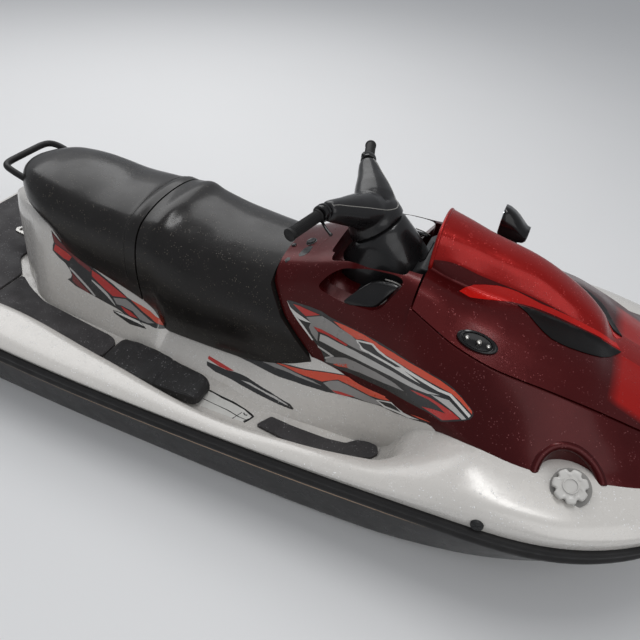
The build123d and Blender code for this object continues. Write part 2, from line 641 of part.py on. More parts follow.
# Fuel filler with a seven-lobed cap, on the starboard deck.
cap_axis = Vector(-0.1, -0.5, 0.86).normalized()
cap_base = Vector(978, -458, 424)
filler = extrude(Plane(origin=cap_base - cap_axis * 20, z_dir=cap_axis) * Circle(50), 30)
filler = filler - deck - cowl
save("fuel_filler", max(filler.solids(), key=lambda v: v.volume))
cap_plane = Plane(origin=cap_base + cap_axis * 10.3, z_dir=cap_axis)
cap_sketch = Circle(46)
for k in range(7):
    a = 2 * math.pi * k / 7
    cap_sketch = cap_sketch - Pos(54 * math.cos(a), 54 * math.sin(a), 0) * Circle(14)
cap = extrude(cap_plane * cap_sketch, 20)
cap = cap + extrude(cap_plane * (Circle(22) - Circle(18)), 22)
cap = cap - deck - cowl
save("fuel_cap", cap)

# Round plugs in the side of the gunwale.
plugs = []
for x in (-1000, 790):
    y = rail_y(x) - 7
    z = rail_z(x) + 26
    if x < 0:
        z = rail_z(x) + 9
    for side in (-1, 1):
        disc = rod((x, side * (y - 30), z), (x, side * (y + 3), z), 17 if x > 0 else 8) - deck
        plugs.append(max(disc.solids(), key=lambda v: v.volume))
save("gunwale_plugs", plugs)

# Console knobs.
knobs = []
for x, y, r in ((62, -38, 17), (8, -52, 8)):
    knob = rod((x, y, 560), (x, y, 640 if x > 50 else 612), r) - cowl
    knobs.append(max(knob.solids(), key=lambda v: v.center().Z))
save("console_knobs", knobs)

# Moulded bars seen through the cowl windows.
vent_path = [(236, 122, 577), (290, 128, 590), (340, 138, 622), (392, 148, 650)]
vent_bar = None
for a, b in zip(vent_path, vent_path[1:]):
    piece = rod(a, b, 12) + Pos(*b) * Sphere(12)
    vent_bar = piece if vent_bar is None else vent_bar + piece
vent_bar = vent_bar - cowl - cone
vent_bar = max(vent_bar.solids(), key=lambda v: v.volume)
save("vent_bars", both_sides(vent_bar))

# Bow storage tub under the hood.
tub_outer = side_prism([(640, 214.5), (1090, 214.5), (1090, 502), (640, 582)], -165, 165)
tub_inner = side_prism([(646, 221), (1084, 221), (1084, 560), (646, 640)], -159, 159)
save("bow_tub", tub_outer - tub_inner)

# Hood fittings: black inserts, mirror feet, the port mirror, hinge and latch.
insert_rows = []
for x in (552, 600, 725, 870, 960, 984):
    shoulder_y, shoulder_z, valley_y, valley_z = between(hood_lines, x)[2:6]
    if x == 552 or x == 984:
        mix = 0.55
    else:
        mix = 0.9
    outer = (valley_y + (shoulder_y - valley_y) * mix, valley_z + (shoulder_z - valley_z) * mix)
    inner = (valley_y + (shoulder_y - valley_y) * 0.08, valley_z + (shoulder_z - valley_z) * 0.08)
    if x == 552 or x == 984:
        inner = (valley_y + (shoulder_y - valley_y) * 0.4, valley_z + (shoulder_z - valley_z) * 0.4)
    insert_rows.append(make_face(Polyline((x, *inner), (x, *outer), (x, outer[0], outer[1] + 3),
                                          (x, inner[0], inner[1] + 3), close=True)))
insert = loft(insert_rows, ruled=True)
insert = insert - hood
save("hood_inserts", both_sides(insert))
mounts = []
flank_normal = Vector(0.1, 0.62, 0.78).normalized()
for side in (-1, 1):
    base = Vector(645, side * 258, 618)
    normal = Vector(flank_normal.X, side * flank_normal.Y, flank_normal.Z)
    pad = extrude(Plane(origin=base - normal * 6, x_dir=(1, 0, -0.13), z_dir=normal) * Ellipse(58, 27), 22) - hood
    mounts.append(max(pad.solids(), key=lambda v: v.center().Z))
save("mirror_mounts", mounts)
back_outline = [(238, 652), (300, 644), (368, 664), (376, 692), (332, 738), (266, 756), (240, 722)]
front_outline = [(262, 664), (300, 660), (338, 672), (342, 690), (318, 712), (276, 722), (262, 706)]
back_face = make_face(Polyline(*[(592, y, z) for y, z in back_outline], close=True))
front_face = make_face(Polyline(*[(664, y, z) for y, z in front_outline], close=True))
mirror_shell = loft([back_face, front_face], ruled=True)
mirror_foot = cone_between((645, 262, 634), (640, 272, 672), 20, 15)
mirror_body = (mirror_shell + mirror_foot) - mounts[1] - hood
save("mirror_port", max(mirror_body.solids(), key=lambda v: v.volume))
glass_outline = [(250, 664), (300, 657), (358, 674), (364, 690), (328, 726), (272, 742), (252, 714)]
glass = extrude(make_face(Polyline(*[(591.7, y, z) for y, z in glass_outline], close=True)), amount=2, dir=(-1, 0, 0))
save("mirror_glass", glass)

# Eyes for lines and lifting.
eye_hole = 9
eye_thick = 12
bow_eye_at = (1548, 232)
eye = Pos(bow_eye_at[0], eye_thick / 2, bow_eye_at[1]) * (Rot(90, 0, 0) * extrude(Circle(19), eye_thick))
eye = eye + Pos(bow_eye_at[0] - 22, 0, bow_eye_at[1]) * Box(44, eye_thick, 26)
eye = eye - Pos(bow_eye_at[0], 20, bow_eye_at[1]) * (Rot(90, 0, 0) * extrude(Circle(eye_hole), 40))
eye = eye - hull
save("bow_eye", max(eye.solids(), key=lambda v: v.volume))
stern_eyes = []
for side in (-1, 1):
    ring = Pos(stern_x - 2, side * 400 + eye_thick / 2, 60) * (Rot(90, 0, 0) * extrude(Circle(18), eye_thick))
    ring = ring + Pos(stern_x + 8, side * 400, 60) * Box(20, eye_thick, 40)
    ring = ring - Pos(stern_x - 8, side * 400 + 20, 60) * (Rot(90, 0, 0) * extrude(Circle(7), 40))
    ring = ring - hull
    stern_eyes.append(max(ring.solids(), key=lambda v: v.volume))
save("stern_eyes", stern_eyes)
tow_plate = plan_prism([(-1150, -34), (-1150, 34), (-1215, 24), (-1250, 20), (-1262, 0), (-1250, -20), (-1215, -24)],
                       206, 218)
tow_plate = tow_plate - Pos(-1234, 0, 200) * extrude(Circle(11), 30)
tow_plate = tow_plate - deck
save("tow_eye", max(tow_plate.solids(), key=lambda v: v.volume))
drains = []
for side in (-1, 1):
    drains.append(rod((stern_x, side * 300, -60), (stern_x - 6, side * 300, -60), 14))
outlet = rod((stern_x, 250, 20), (stern_x - 5, 250, 20), 30) - rod((stern_x + 1, 250, 20), (stern_x - 6, 250, 20), 22)
save("transom_fittings", drains + [outlet])
lever = rod((150, -205, 812), (196, -262, 812), 4)
lever = lever + rod((128, -190, 806), (152, -208, 812), 6)
lever = lever - cover
lever = lever - grips[0] - bar
save("throttle_lever", max(lever.solids(), key=lambda v: v.volume))
switch_box = Pos(134, 193, 825) * Box(34, 24, 40)
switch_box = switch_box - cover - grips[1] - bar
save("switch_box", max(switch_box.solids(), key=lambda v: v.volume))

# Hood hinge: lugs and pin on the cowl, knuckles and leaf on the hood.
hinge_pin_r = 4
hinge_base = rod((hinge_x, -64, hinge_z), (hinge_x, 64, hinge_z), hinge_pin_r)
for side in (-1, 1):
    lug = Pos(hinge_x, side * 62, 461) * Box(16, 6, 22)
    hinge_base = hinge_base + lug
hinge_base = hinge_base - cowl
save("hood_hinge_base", max(hinge_base.solids(), key=lambda v: v.volume))
leaf = Pos(hinge_x - 12, 0, 469) * Box(20, 92, 4)
for side in (-1, 1):
    leaf = leaf + rod((hinge_x, side * 50, hinge_z), (hinge_x, side * 24, hinge_z), 8)
leaf = leaf + Pos(hinge_x - 13, 0, 472) * Box(12, 92, 8)
leaf = leaf - Pos(hinge_x, 0, hinge_z) * Box(20, 47.9, 30)
leaf = leaf - rod((hinge_x, -80, hinge_z), (hinge_x, 80, hinge_z), hinge_pin_r + 0.4) - hood
save("hood_hinge_leaf", max(leaf.solids(), key=lambda v: v.volume))

# Rubber buffers that carry the rear seat and the hood.
buffers = []
rest_gap = 0.4
for x in (-840, -520):
    top_z = between(pedestal_lines, x)[4] + joint_gap + 1 - rest_gap
    for side in (-1, 1):
        pad = rod((x, side * 132, top_z - 14), (x, side * 132, top_z + 4), 10) - deck
        pad = pad - rear_seat - Pos(0, 0, -rest_gap) * rear_seat
        buffers.append(max(pad.solids(), key=lambda v: v.volume))
for x in (560, 1120):
    seam_y, seam_z = between(hood_lines, x)[:2]
    for side in (-1, 1):
        pad = Pos(x, side * (seam_y - 10), seam_z - 5) * Box(40, 10, 20)
        pad = pad - cowl - Pos(0, 0, -rest_gap) * hood - hood
        buffers.append(max(pad.solids(), key=lambda v: v.volume))
save("rubber_buffers", buffers)
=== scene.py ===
import math
import bmesh
import bpy
import numpy as np
from mathutils import Matrix, Vector
from mathutils.bvhtree import BVHTree
from mathutils.geometry import delaunay_2d_cdt


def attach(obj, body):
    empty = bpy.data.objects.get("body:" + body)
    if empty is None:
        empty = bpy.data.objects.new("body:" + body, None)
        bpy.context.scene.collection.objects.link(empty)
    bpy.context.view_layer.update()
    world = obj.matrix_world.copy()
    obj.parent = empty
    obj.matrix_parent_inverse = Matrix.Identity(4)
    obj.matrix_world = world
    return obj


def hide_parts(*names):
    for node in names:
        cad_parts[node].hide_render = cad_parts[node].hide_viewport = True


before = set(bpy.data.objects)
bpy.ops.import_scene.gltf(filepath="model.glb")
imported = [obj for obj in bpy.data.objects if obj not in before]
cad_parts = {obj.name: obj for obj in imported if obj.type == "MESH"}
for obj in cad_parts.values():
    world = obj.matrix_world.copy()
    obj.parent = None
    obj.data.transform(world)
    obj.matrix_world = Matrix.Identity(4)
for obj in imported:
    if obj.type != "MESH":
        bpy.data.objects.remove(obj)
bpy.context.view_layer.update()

scene = bpy.context.scene
scene.view_settings.view_transform = "Standard"
milli = 0.001  # the shape tables below are in millimetres


# camera first: the photographer's place above the starboard bow quarter
cameraValues = {"place": (0.646, -1.6008, 1.6977), "yaw": 0.3247, "pitch": 0.6982, "roll": 0.1194,
                "focalPixels": 620.0, "imagePixels": 640, "sensor": 36.0}


def makeCamera(v):
    yaw, pitch, roll = v["yaw"], v["pitch"], v["roll"]
    ahead = Vector((-math.sin(yaw) * math.cos(pitch), math.cos(yaw) * math.cos(pitch), -math.sin(pitch)))
    right = Vector((math.cos(yaw), math.sin(yaw), 0))
    up = right.cross(ahead)
    right, up = math.cos(roll) * right + math.sin(roll) * up, math.cos(roll) * up - math.sin(roll) * right
    data = bpy.data.cameras.new("photoCamera")
    data.sensor_width = v["sensor"]
    data.lens = v["focalPixels"] * v["sensor"] / v["imagePixels"]
    data.clip_end = 100
    camera = bpy.data.objects.new("photoCamera", data)
    scene.collection.objects.link(camera)
    turn = Matrix((right, up, -ahead)).transposed().to_4x4()
    camera.matrix_world = Matrix.Translation(Vector(v["place"])) @ turn
    scene.camera = camera


makeCamera(cameraValues)
print("camera placed")


# shader maths written as sums
class Wire:
    def __init__(self, finish, socket):
        self.finish = finish
        self.socket = socket

    def sum(self, operation, other, flipped=False):
        a, b = (other, self) if flipped else (self, other)
        return self.finish.node("ShaderNodeMath", {"operation": operation}, {0: a, 1: b})

    def __add__(self, other):
        return self.sum("ADD", other)

    def __rsub__(self, other):
        return self.sum("SUBTRACT", other, True)

    def __mul__(self, other):
        return self.sum("MULTIPLY", other)


class Finish:
    def __init__(self, name):
        self.material = bpy.data.materials.new(name)
        self.material.use_nodes = True
        self.tree = self.material.node_tree
        self.shader = self.tree.nodes["Principled BSDF"]

    def node(self, kind, settings=None, sockets=None, output=0):
        made = self.tree.nodes.new(kind)
        for key, value in (settings or {}).items():
            setattr(made, key, value)
        for key, value in (sockets or {}).items():
            self.feed(made.inputs[key], value)
        return Wire(self, made.outputs[output])

    def feed(self, target, value):
        if isinstance(value, Wire):
            self.tree.links.new(value.socket, target)
        elif isinstance(value, tuple) and len(value) == 3 and target.type == "RGBA":
            target.default_value = (*value, 1)
        else:
            target.default_value = value

    def place(self):
        return self.node("ShaderNodeTexCoord", output=3)

    def noise(self, scale, detail=2.0, rough=0.5):
        return self.node("ShaderNodeTexNoise", None,
                         {"Vector": self.place(), "Scale": scale, "Detail": detail, "Roughness": rough})

    def cells(self, scale, feature="F1"):
        return self.node("ShaderNodeTexVoronoi", {"feature": feature}, {"Vector": self.place(), "Scale": scale})

    def bands(self, scale, direction):
        return self.node("ShaderNodeTexWave", {"bands_direction": direction},
                         {"Vector": self.place(), "Scale": scale})

    def spread(self, value, low, high, newLow=0.0, newHigh=1.0):
        return self.node("ShaderNodeMapRange", None, {"Value": value, "From Min": low, "From Max": high,
                                                      "To Min": newLow, "To Max": newHigh})

    def blend(self, factor, a, b):
        return self.node("ShaderNodeMix", {"data_type": "RGBA"}, {0: factor, 6: a, 7: b}, output=2)

    def axes(self):
        made = self.tree.nodes.new("ShaderNodeSeparateXYZ")
        self.tree.links.new(self.place().socket, made.inputs[0])
        return [Wire(self, out) for out in made.outputs]

    def bump(self, height, strength=0.3, distance=0.001, under=None):
        sockets = {"Height": height, "Strength": strength, "Distance": distance}
        if under:
            sockets["Normal"] = under
        return self.node("ShaderNodeBump", None, sockets)

    def set(self, **values):
        for key, value in values.items():
            self.feed(self.shader.inputs[key.replace("_", " ")], value)
        return self.material


def shade(red, green, blue):  # a colour read as 0-255 on screen, made linear for the shaders
    return tuple(c / 12.92 if c <= 0.04045 else ((c + 0.055) / 1.055) ** 2.4
                 for c in (red / 255, green / 255, blue / 255))


# finishes
def dropAndGlintMask(f, scale, share):  # small standing drops on a wet surface, one cell in a few carries one; the finishes also paint the drops lighter as painted glints
    dots = f.cells(scale)
    patch = f.spread(f.noise(scale * 0.3, 2), 0.6 - share * 0.2, 0.64 - share * 0.1)
    return f.spread(dots, 0.12, 0.3, 1.0, 0.0) * patch


def dropletBump(f, scale, share, strength=0.5, under=None):
    return f.bump(dropAndGlintMask(f, scale, share), strength, 0.0012, under)


def gelCoat(name, tone, tintAndGrimeTone, coat=0.6, tintAndGrime=0.3):
    f = Finish(name)
    cloud = f.noise(2.2, 2)
    fleck = f.noise(900, 1)
    z = f.axes()[2]
    low = f.spread(z, 0.135, 0.175, 1.0, 0.0) * f.spread(f.noise(30, 4, 0.65), 0.5, 0.68)  # partly painted shade, partly grime: towards the floor the pearl goes darker and tan, in patches
    base = f.blend(cloud, tone, tuple(c * 0.96 for c in tone))
    base = f.blend(f.spread(fleck, 0.45, 0.62) * 0.12, base, (0.9, 0.9, 0.9))
    base = f.blend(low * tintAndGrime, base, tintAndGrimeTone)
    # painted highlight: the drops are painted near white as their glints
    base = f.blend(dropAndGlintMask(f, 130, 0.5) * 0.75, base, (0.93, 0.94, 0.95))
    wave = f.bump(f.noise(5, 1), 0.015, 0.01)
    f.set(Base_Color=base, Roughness=f.spread(f.noise(30, 3), 0.3, 0.8, 0.24, 0.34) + low * 0.2,
          Normal=dropletBump(f, 130, 0.5, 0.6, wave))
    return f.set(Coat_Weight=coat, Coat_Roughness=0.16, Metallic=0.06)


def metallicPaint(name, tone, deep, metallic=0.55, rough=0.3, drops=0.4, nose=None):
    f = Finish(name)
    fleck = f.cells(1400)
    base = f.blend(f.noise(2.2, 2), tone, deep)
    if nose:  # painted light: ahead of its inserts the hood's flank paint turns the bright red of its lit parts
        x, y = f.axes()[:2]
        base = f.blend(f.spread(x, 1.005, 1.04) * f.spread(y * y, 0.045, 0.056, 1.0, 0.0), base, nose)
    base = f.blend(f.spread(fleck, 0.0, 0.5, 0.22, 0.0), base, tuple(min(1, c * 2.2 + 0.02) for c in tone))
    # painted highlight: the drops are painted lighter than the paint as their glints
    base = f.blend(dropAndGlintMask(f, 140, drops) * 0.4, base, tuple(min(1, c * 3 + 0.12) for c in tone))
    orange = f.bump(f.noise(55, 2), 0.05, 0.004)
    f.set(Base_Color=base, Roughness=f.spread(f.noise(18, 3), 0.3, 0.7, rough - 0.05, rough + 0.06),
          Normal=dropletBump(f, 140, drops, 0.35, orange))
    return f.set(Metallic=metallic, Coat_Weight=0.22, Coat_Roughness=0.16, Specular_IOR_Level=0.2)


def vinyl(name, tone):
    f = Finish(name)
    grain = f.cells(520, feature="SMOOTH_F1")
    wrinkle = f.noise(7, 3, 0.6)
    wet = f.spread(f.noise(5, 3, 0.55), 0.38, 0.62)
    base = f.blend(f.noise(12, 3), tone, tuple(c * 1.7 + 0.002 for c in tone))
    # painted highlight: the drops are painted a warm light tone as their glints
    base = f.blend(dropAndGlintMask(f, 150, 0.45) * 0.3, base, shade(150, 140, 125))
    under = f.bump(wrinkle, 0.14, 0.012)
    grained = f.bump(grain, 0.16, 0.0007, under)
    f.set(Base_Color=base, Roughness=f.spread(wet, 0.0, 1.0, 0.42, 0.25),
          Normal=dropletBump(f, 150, 0.45, 0.4, grained))
    return f.set(Coat_Weight=0.22, Coat_Roughness=0.14, Specular_IOR_Level=0.24)


def mouldedPlastic(name, tone, rough=0.45, grainScale=420, coat=0.0, shine=0.3):
    f = Finish(name)
    grain = f.noise(grainScale, 2)
    base = f.blend(f.noise(15, 3), tone, tuple(c * 1.5 + 0.004 for c in tone))
    f.set(Base_Color=base, Roughness=f.spread(f.noise(25, 3), 0.3, 0.7, rough - 0.08, rough + 0.1),
          Normal=f.bump(grain, 0.14, 0.0006))
    return f.set(Coat_Weight=coat, Coat_Roughness=0.08, Specular_IOR_Level=shine)


def matFoam(name, tone, rough=0.55, wet=0.4):
    f = Finish(name)
    ribs = f.bands(60, "Y")
    speck = f.noise(650, 2, 0.7)
    base = f.blend(f.spread(speck, 0.35, 0.7), tone, tuple(c * 2.6 + 0.01 for c in tone))
    base = f.blend(f.spread(f.noise(9, 4, 0.6), 0.5, 0.75) * 0.4, base, tuple(c * 4 + 0.015 for c in tone))
    # painted highlight: the drops are painted pale grey as wet sparkle
    base = f.blend(dropAndGlintMask(f, 120, wet) * wet, base, shade(150, 148, 150))
    f.set(Base_Color=base, Roughness=f.spread(f.noise(12, 3), 0.3, 0.7, rough, rough + 0.3),
          Normal=dropletBump(f, 120, wet, 0.4, f.bump(speck, 0.4, 0.001, f.bump(ribs, 0.5, 0.0015))))
    return f.material


def castMetal(name, tone, rough=0.42):
    f = Finish(name)
    stain = f.spread(f.noise(16, 4, 0.6), 0.5, 0.75)
    base = f.blend(stain * 0.5, tone, tuple(c * 0.45 for c in tone))
    f.set(Base_Color=base, Metallic=1.0 - stain * 0.3,
          Roughness=f.spread(f.noise(60, 3), 0.3, 0.7, rough - 0.1, rough + 0.12),
          Normal=f.bump(f.noise(300, 2), 0.15, 0.0008))
    return f.set(Coat_Weight=0.0, IOR=1.5)


def printedFilm(name, tone, wear=0.25):
    f = Finish(name)
    scuff = f.spread(f.noise(70, 4, 0.7), 0.6, 0.72)
    base = f.blend(f.noise(40, 2) * 0.5, tone, tuple(c * 0.8 for c in tone))
    base = f.blend(scuff * wear, base, shade(176, 170, 164))
    f.set(Base_Color=base, Roughness=f.spread(f.noise(30, 3), 0.3, 0.7, 0.25, 0.4),
          Normal=f.bump(f.noise(200, 1), 0.04, 0.0004))
    return f.set(Coat_Weight=0.6, Coat_Roughness=0.08)


finishTable = {
    # name: maker, tones as read on screen, then the maker's other values
    # the second tone is the painted tan shade at the floor, mixed with grime
    "deckPearl": (gelCoat, (206, 202, 196), (128, 116, 100), 0.6, 0.16),
    "hullDark": (metallicPaint, (15, 13, 14), (9, 8, 9), 0.1, 0.3, 0.2),
    # the front's one red paint is painted in a shaded dark tone on the cowl and the hood's flanks, and in a lit bright
    # tone on the hood's hump
    "cowlMaroon": (metallicPaint, (80, 6, 7), (50, 3, 5), 0.55, 0.32),
    "hoodRed": (metallicPaint, (158, 16, 10), (120, 9, 7), 0.5, 0.28, 0.55),
    "lensRed": (metallicPaint, (206, 28, 20), (176, 18, 14), 0.15, 0.2, 0.1),
    "seatVinyl": (vinyl, (20, 18, 17)),
    "thread": (mouldedPlastic, (58, 56, 54), 0.6, 900),
    "blackGloss": (mouldedPlastic, (11, 10, 11), 0.2, 160, 0.18),
    "trimGrey": (mouldedPlastic, (120, 118, 114), 0.25, 300, 0.3),
    "insertBlack": (mouldedPlastic, (10, 8, 8), 0.32, 160, 0.0, 0.16),
    # the last tone is the painted lit red ahead of the inserts
    "hoodFlank": (metallicPaint, (84, 7, 8), (56, 4, 6), 0.55, 0.3, 0.4, (176, 20, 12)),
    "blackSatin": (mouldedPlastic, (17, 16, 17), 0.3, 220, 0.3),
    "blackPlastic": (mouldedPlastic, (24, 24, 25), 0.42),
    "railRubber": (mouldedPlastic, (22, 21, 21), 0.55, 260),
    "gripRubber": (mouldedPlastic, (20, 19, 19), 0.5, 500),
    "capGrey": (mouldedPlastic, (176, 174, 170), 0.38, 300, 0.2),
    "fillerGrey": (mouldedPlastic, (120, 118, 115), 0.45, 300),
    "matGrey": (matFoam, (36, 34, 35), 0.55, 0.5),
    "matVinyl": (matFoam, (12, 11, 12), 0.42, 0.6),
    "castAluminium": (castMetal, (150, 150, 150)),
    "stainless": (castMetal, (196, 194, 190), 0.25),
    "engineBlack": (mouldedPlastic, (30, 30, 32), 0.6, 120),
    "mirrorGlass": (castMetal, (205, 210, 214), 0.14),
    "redFilm": (printedFilm, (188, 36, 28)),
    "orangeFilm": (printedFilm, (214, 74, 44)),
    "deepRedFilm": (printedFilm, (112, 22, 22)),
    "greyFilm": (printedFilm, (142, 139, 137)),
    "silverFilm": (printedFilm, (188, 186, 183)),
    "blackFilm": (printedFilm, (22, 21, 22), 0.15),
    "whiteFilm": (printedFilm, (222, 220, 216)),
    "cleanPatch": (printedFilm, (216, 215, 210), 0.1),
    "tanLine": (printedFilm, (176, 142, 106)),
}
finishes = {name: maker(name, *[shade(*v) if isinstance(v, tuple) else v for v in values])
            for name, (maker, *values) in finishTable.items()}
print("finishes mixed", len(finishes))


# mesh tools
def circle(count):
    return [2 * math.pi * k / count for k in range(count)]


def squared(value, power):  # a sine or cosine bulged towards a box
    return math.copysign(abs(value) ** power, value)


def keep(mesh, name, body, finish, sharp=38.0):
    piece = bpy.data.objects.new(name, mesh)
    scene.collection.objects.link(piece)
    for one in finish if isinstance(finish, (list, tuple)) else [finish]:
        mesh.materials.append(finishes[one])
    mesh.shade_smooth()
    if sharp:
        mesh.set_sharp_from_angle(angle=math.radians(sharp))
    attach(piece, body)
    return piece


def meshFrom(points, faces, name, tidy=True):
    mesh = bpy.data.meshes.new(name)
    mesh.from_pydata([tuple(map(float, p)) for p in points], [], faces)
    if tidy:
        tidyMesh(mesh)
    return mesh


def tidyMesh(mesh, merge=1e-5):
    bm = bmesh.new()
    bm.from_mesh(mesh)
    bmesh.ops.remove_doubles(bm, verts=bm.verts, dist=merge)
    bmesh.ops.recalc_face_normals(bm, faces=bm.faces)
    bm.to_mesh(mesh)
    bm.free()


def smoothCurve(knots, values, x):  # monotone cubic through the knots, so nothing overshoots
    step = np.diff(knots)
    slope = np.diff(values) / step
    m = np.zeros(len(knots))
    for i in range(1, len(knots) - 1):
        if slope[i - 1] * slope[i] > 0:
            a, b = 2 * step[i] + step[i - 1], step[i] + 2 * step[i - 1]
            m[i] = (a + b) / (a / slope[i - 1] + b / slope[i])
    m[0], m[-1] = slope[0], slope[-1]
    k = np.clip(np.searchsorted(knots, x, side="right") - 1, 0, len(step) - 1)
    t = np.clip((x - knots[k]) / step[k], 0, 1)
    return ((1 + 2 * t) * (1 - t) ** 2 * values[k] + t * (1 - t) ** 2 * step[k] * m[k]
            + t * t * (3 - 2 * t) * values[k + 1] + t * t * (t - 1) * step[k] * m[k + 1])


def readTable(table, x):  # every column of a table at the given x values
    rows = np.array(sorted(table), float)
    x = np.clip(np.atleast_1d(np.array(x, float)), rows[0, 0], rows[-1, 0])
    return np.stack([smoothCurve(rows[:, 0], column, x) for column in rows[:, 1:].T], axis=1)


def denseFrom(knots, step):
    out = []
    for low, high in zip(knots, knots[1:]):
        out += list(np.linspace(low, high, max(1, math.ceil((high - low) / step)), endpoint=False))
    return np.array(out + [knots[-1]])


def roundedLoops(loops, reach, samples):  # loops (stations, corners, 2 or 3) with each corner eased
    loops = np.asarray(loops, float)
    count = loops.shape[1]
    out = []
    for k in range(count):
        corner = loops[:, k]
        if samples[k] <= 1:
            out.append(corner[:, None])
            continue
        before, after = loops[:, k - 1], loops[:, (k + 1) % count]
        ends = []
        for other in (before, after):
            arm = other - corner
            size = np.linalg.norm(arm, axis=1, keepdims=True) + 1e-9
            ends.append(corner + arm / size * np.minimum(reach[k], size * 0.5))
        t = np.linspace(0, 1, samples[k])[None, :, None]
        a, b, c = ends[0][:, None], corner[:, None], ends[1][:, None]
        out.append((1 - t) ** 2 * a + 2 * t * (1 - t) * b + t * t * c)
    return np.concatenate(out, axis=1)


def fullLoops(halves):  # half paths (stations, corners, 2), first and last on the middle line, to whole loops
    halves = np.asarray(halves, float)
    near = halves.copy()
    near[:, :, 0] *= -1
    return np.concatenate([near, halves[:, -2:0:-1]], axis=1)


def fullSpec(values):
    return list(values) + list(values[-2:0:-1])


def halfPath(pairs):  # columns of y and z, corner by corner, to half paths
    return np.stack([np.stack(p, axis=1) for p in pairs], axis=1)


def halvesOf(table, x):
    rows = readTable(table, x)
    return np.stack([rows[:, 0::2], rows[:, 1::2]], axis=2)


def fromMiddle(halves):  # closes half paths down to the middle line
    foot = halves[:, :1] * np.array([0, 1])
    return np.concatenate([foot, halves], axis=1)


def skinMesh(xs, loops):  # closed loops at each x, joined and capped
    stations = np.repeat(np.array(xs)[:, None, None], loops.shape[1], axis=1)
    return loftMesh(np.concatenate([stations, loops], axis=2) * milli, "skin")


def loftMesh(rings, name):  # rings of 3-D points in metres, joined and capped
    count, ring = len(rings), len(rings[0])
    points = [p for one in rings for p in one]
    faces = []
    for i in range(count - 1):
        for j in range(ring):
            k = (j + 1) % ring
            faces.append((i * ring + j, i * ring + k, (i + 1) * ring + k, (i + 1) * ring + j))
    faces += [tuple(range(ring)), tuple(range((count - 1) * ring, count * ring))[::-1]]
    return meshFrom(points, faces, name)


def prism(outline, low, high, plane="xz"):  # straight block on an outline in mm: xz lines run along y, xy along z
    rings = []
    for level in (low, high):
        if plane == "xz":
            rings.append([(x * milli, level * milli, z * milli) for x, z in outline])
        else:
            rings.append([(x * milli, y * milli, level * milli) for x, y in outline])
    return loftMesh(rings, "prism")


def boxMesh(x0, x1, y0, y1, z0, z1):
    return prism([(x0, y0), (x1, y0), (x1, y1), (x0, y1)], z0, z1, "xy")


def turned(profile, start, end, sides, scaled=False):  # (radius, height) rows spun round the line
    start, end = Vector(start), Vector(end)
    axis = end - start
    size = axis.length if scaled else 1.0  # scaled: heights are shares of the line
    side = axis.orthogonal().normalized()
    other = axis.normalized().cross(side)
    rings = []
    for radius, height in profile:
        centre = start + axis.normalized() * height * size
        radius = max(radius, 1e-5)
        rings.append([centre + side * radius * math.cos(a) + other * radius * math.sin(a) for a in circle(sides)])
    return loftMesh(rings, "turned")


def joined(meshes):
    bm = bmesh.new()
    for mesh in meshes:
        bm.from_mesh(mesh)
    out = bpy.data.meshes.new("joined")
    bm.to_mesh(out)
    bm.free()
    return out


def sided(point, side):  # a point given for port, on port (1) or starboard (-1)
    return Vector((point[0], side * point[1], point[2]))


def turnedPair(profile, start, end, sides, scaled=False):  # the same turned part on both sides
    return joined([turned(profile, sided(start, side), sided(end, side), sides, scaled) for side in (-1, 1)])


def mirroredMesh(mesh):
    bm = bmesh.new()
    bm.from_mesh(mesh)
    for v in bm.verts:
        v.co.y = -v.co.y
    bmesh.ops.reverse_faces(bm, faces=bm.faces)
    out = bpy.data.meshes.new(mesh.name)
    bm.to_mesh(out)
    bm.free()
    return out


def bothSides(mesh):
    return [mesh, mirroredMesh(mesh)]


def twin(mesh):
    return joined(bothSides(mesh))


def settled(piece):  # the evaluated mesh takes the place of the modifiers
    graph = bpy.context.evaluated_depsgraph_get()
    graph.update()
    return bpy.data.meshes.new_from_object(piece.evaluated_get(graph), depsgraph=graph)


def carved(mesh, cutters, operation="DIFFERENCE"):
    for cutter in cutters:
        target = bpy.data.objects.new("carving", mesh)
        helper = bpy.data.objects.new("cutter", cutter)
        for one in (target, helper):
            scene.collection.objects.link(one)
        modifier = target.modifiers.new("cut", "BOOLEAN")
        modifier.operation, modifier.object, modifier.solver = operation, helper, "EXACT"
        mesh = settled(target)
        for one in (target, helper):
            bpy.data.objects.remove(one)
        tidyMesh(mesh, 2e-5)
    return mesh


def softened(mesh, voxel, rounds):  # blends joined shapes into one moulded form
    piece = bpy.data.objects.new("blending", mesh)
    scene.collection.objects.link(piece)
    remesh = piece.modifiers.new("remesh", "REMESH")
    remesh.mode, remesh.voxel_size = "VOXEL", voxel
    relax = piece.modifiers.new("relax", "SMOOTH")
    relax.iterations, relax.factor = rounds, 0.5
    fine = piece.modifiers.new("fine", "SUBSURF")
    fine.levels = fine.render_levels = 1
    out = settled(piece)
    bpy.data.objects.remove(piece)
    return out


def subdivided(mesh, levels, bevel=0.0, segments=2):
    piece = bpy.data.objects.new("finer", mesh)
    scene.collection.objects.link(piece)
    if bevel:
        edge = piece.modifiers.new("edge", "BEVEL")
        edge.width, edge.segments = bevel, segments
        edge.limit_method, edge.angle_limit = "ANGLE", math.radians(35)
    if levels:
        fine = piece.modifiers.new("fine", "SUBSURF")
        fine.levels = fine.render_levels = levels
    out = settled(piece)
    bpy.data.objects.remove(piece)
    return out


def tubeMesh(path, radius, sides):  # round bead along points in metres
    path = [Vector(p) for p in path]
    rings = []
    side = None
    for i, p in enumerate(path):
        a, b = path[max(i - 1, 0)], path[min(i + 1, len(path) - 1)]
        ahead = (b - a).normalized()
        side = (side - ahead * side.dot(ahead) if side else ahead.orthogonal()).normalized()
        other = ahead.cross(side)
        rings.append([p + side * radius * math.cos(t) + other * radius * math.sin(t) for t in circle(sides)])
    return loftMesh(rings, "tube")


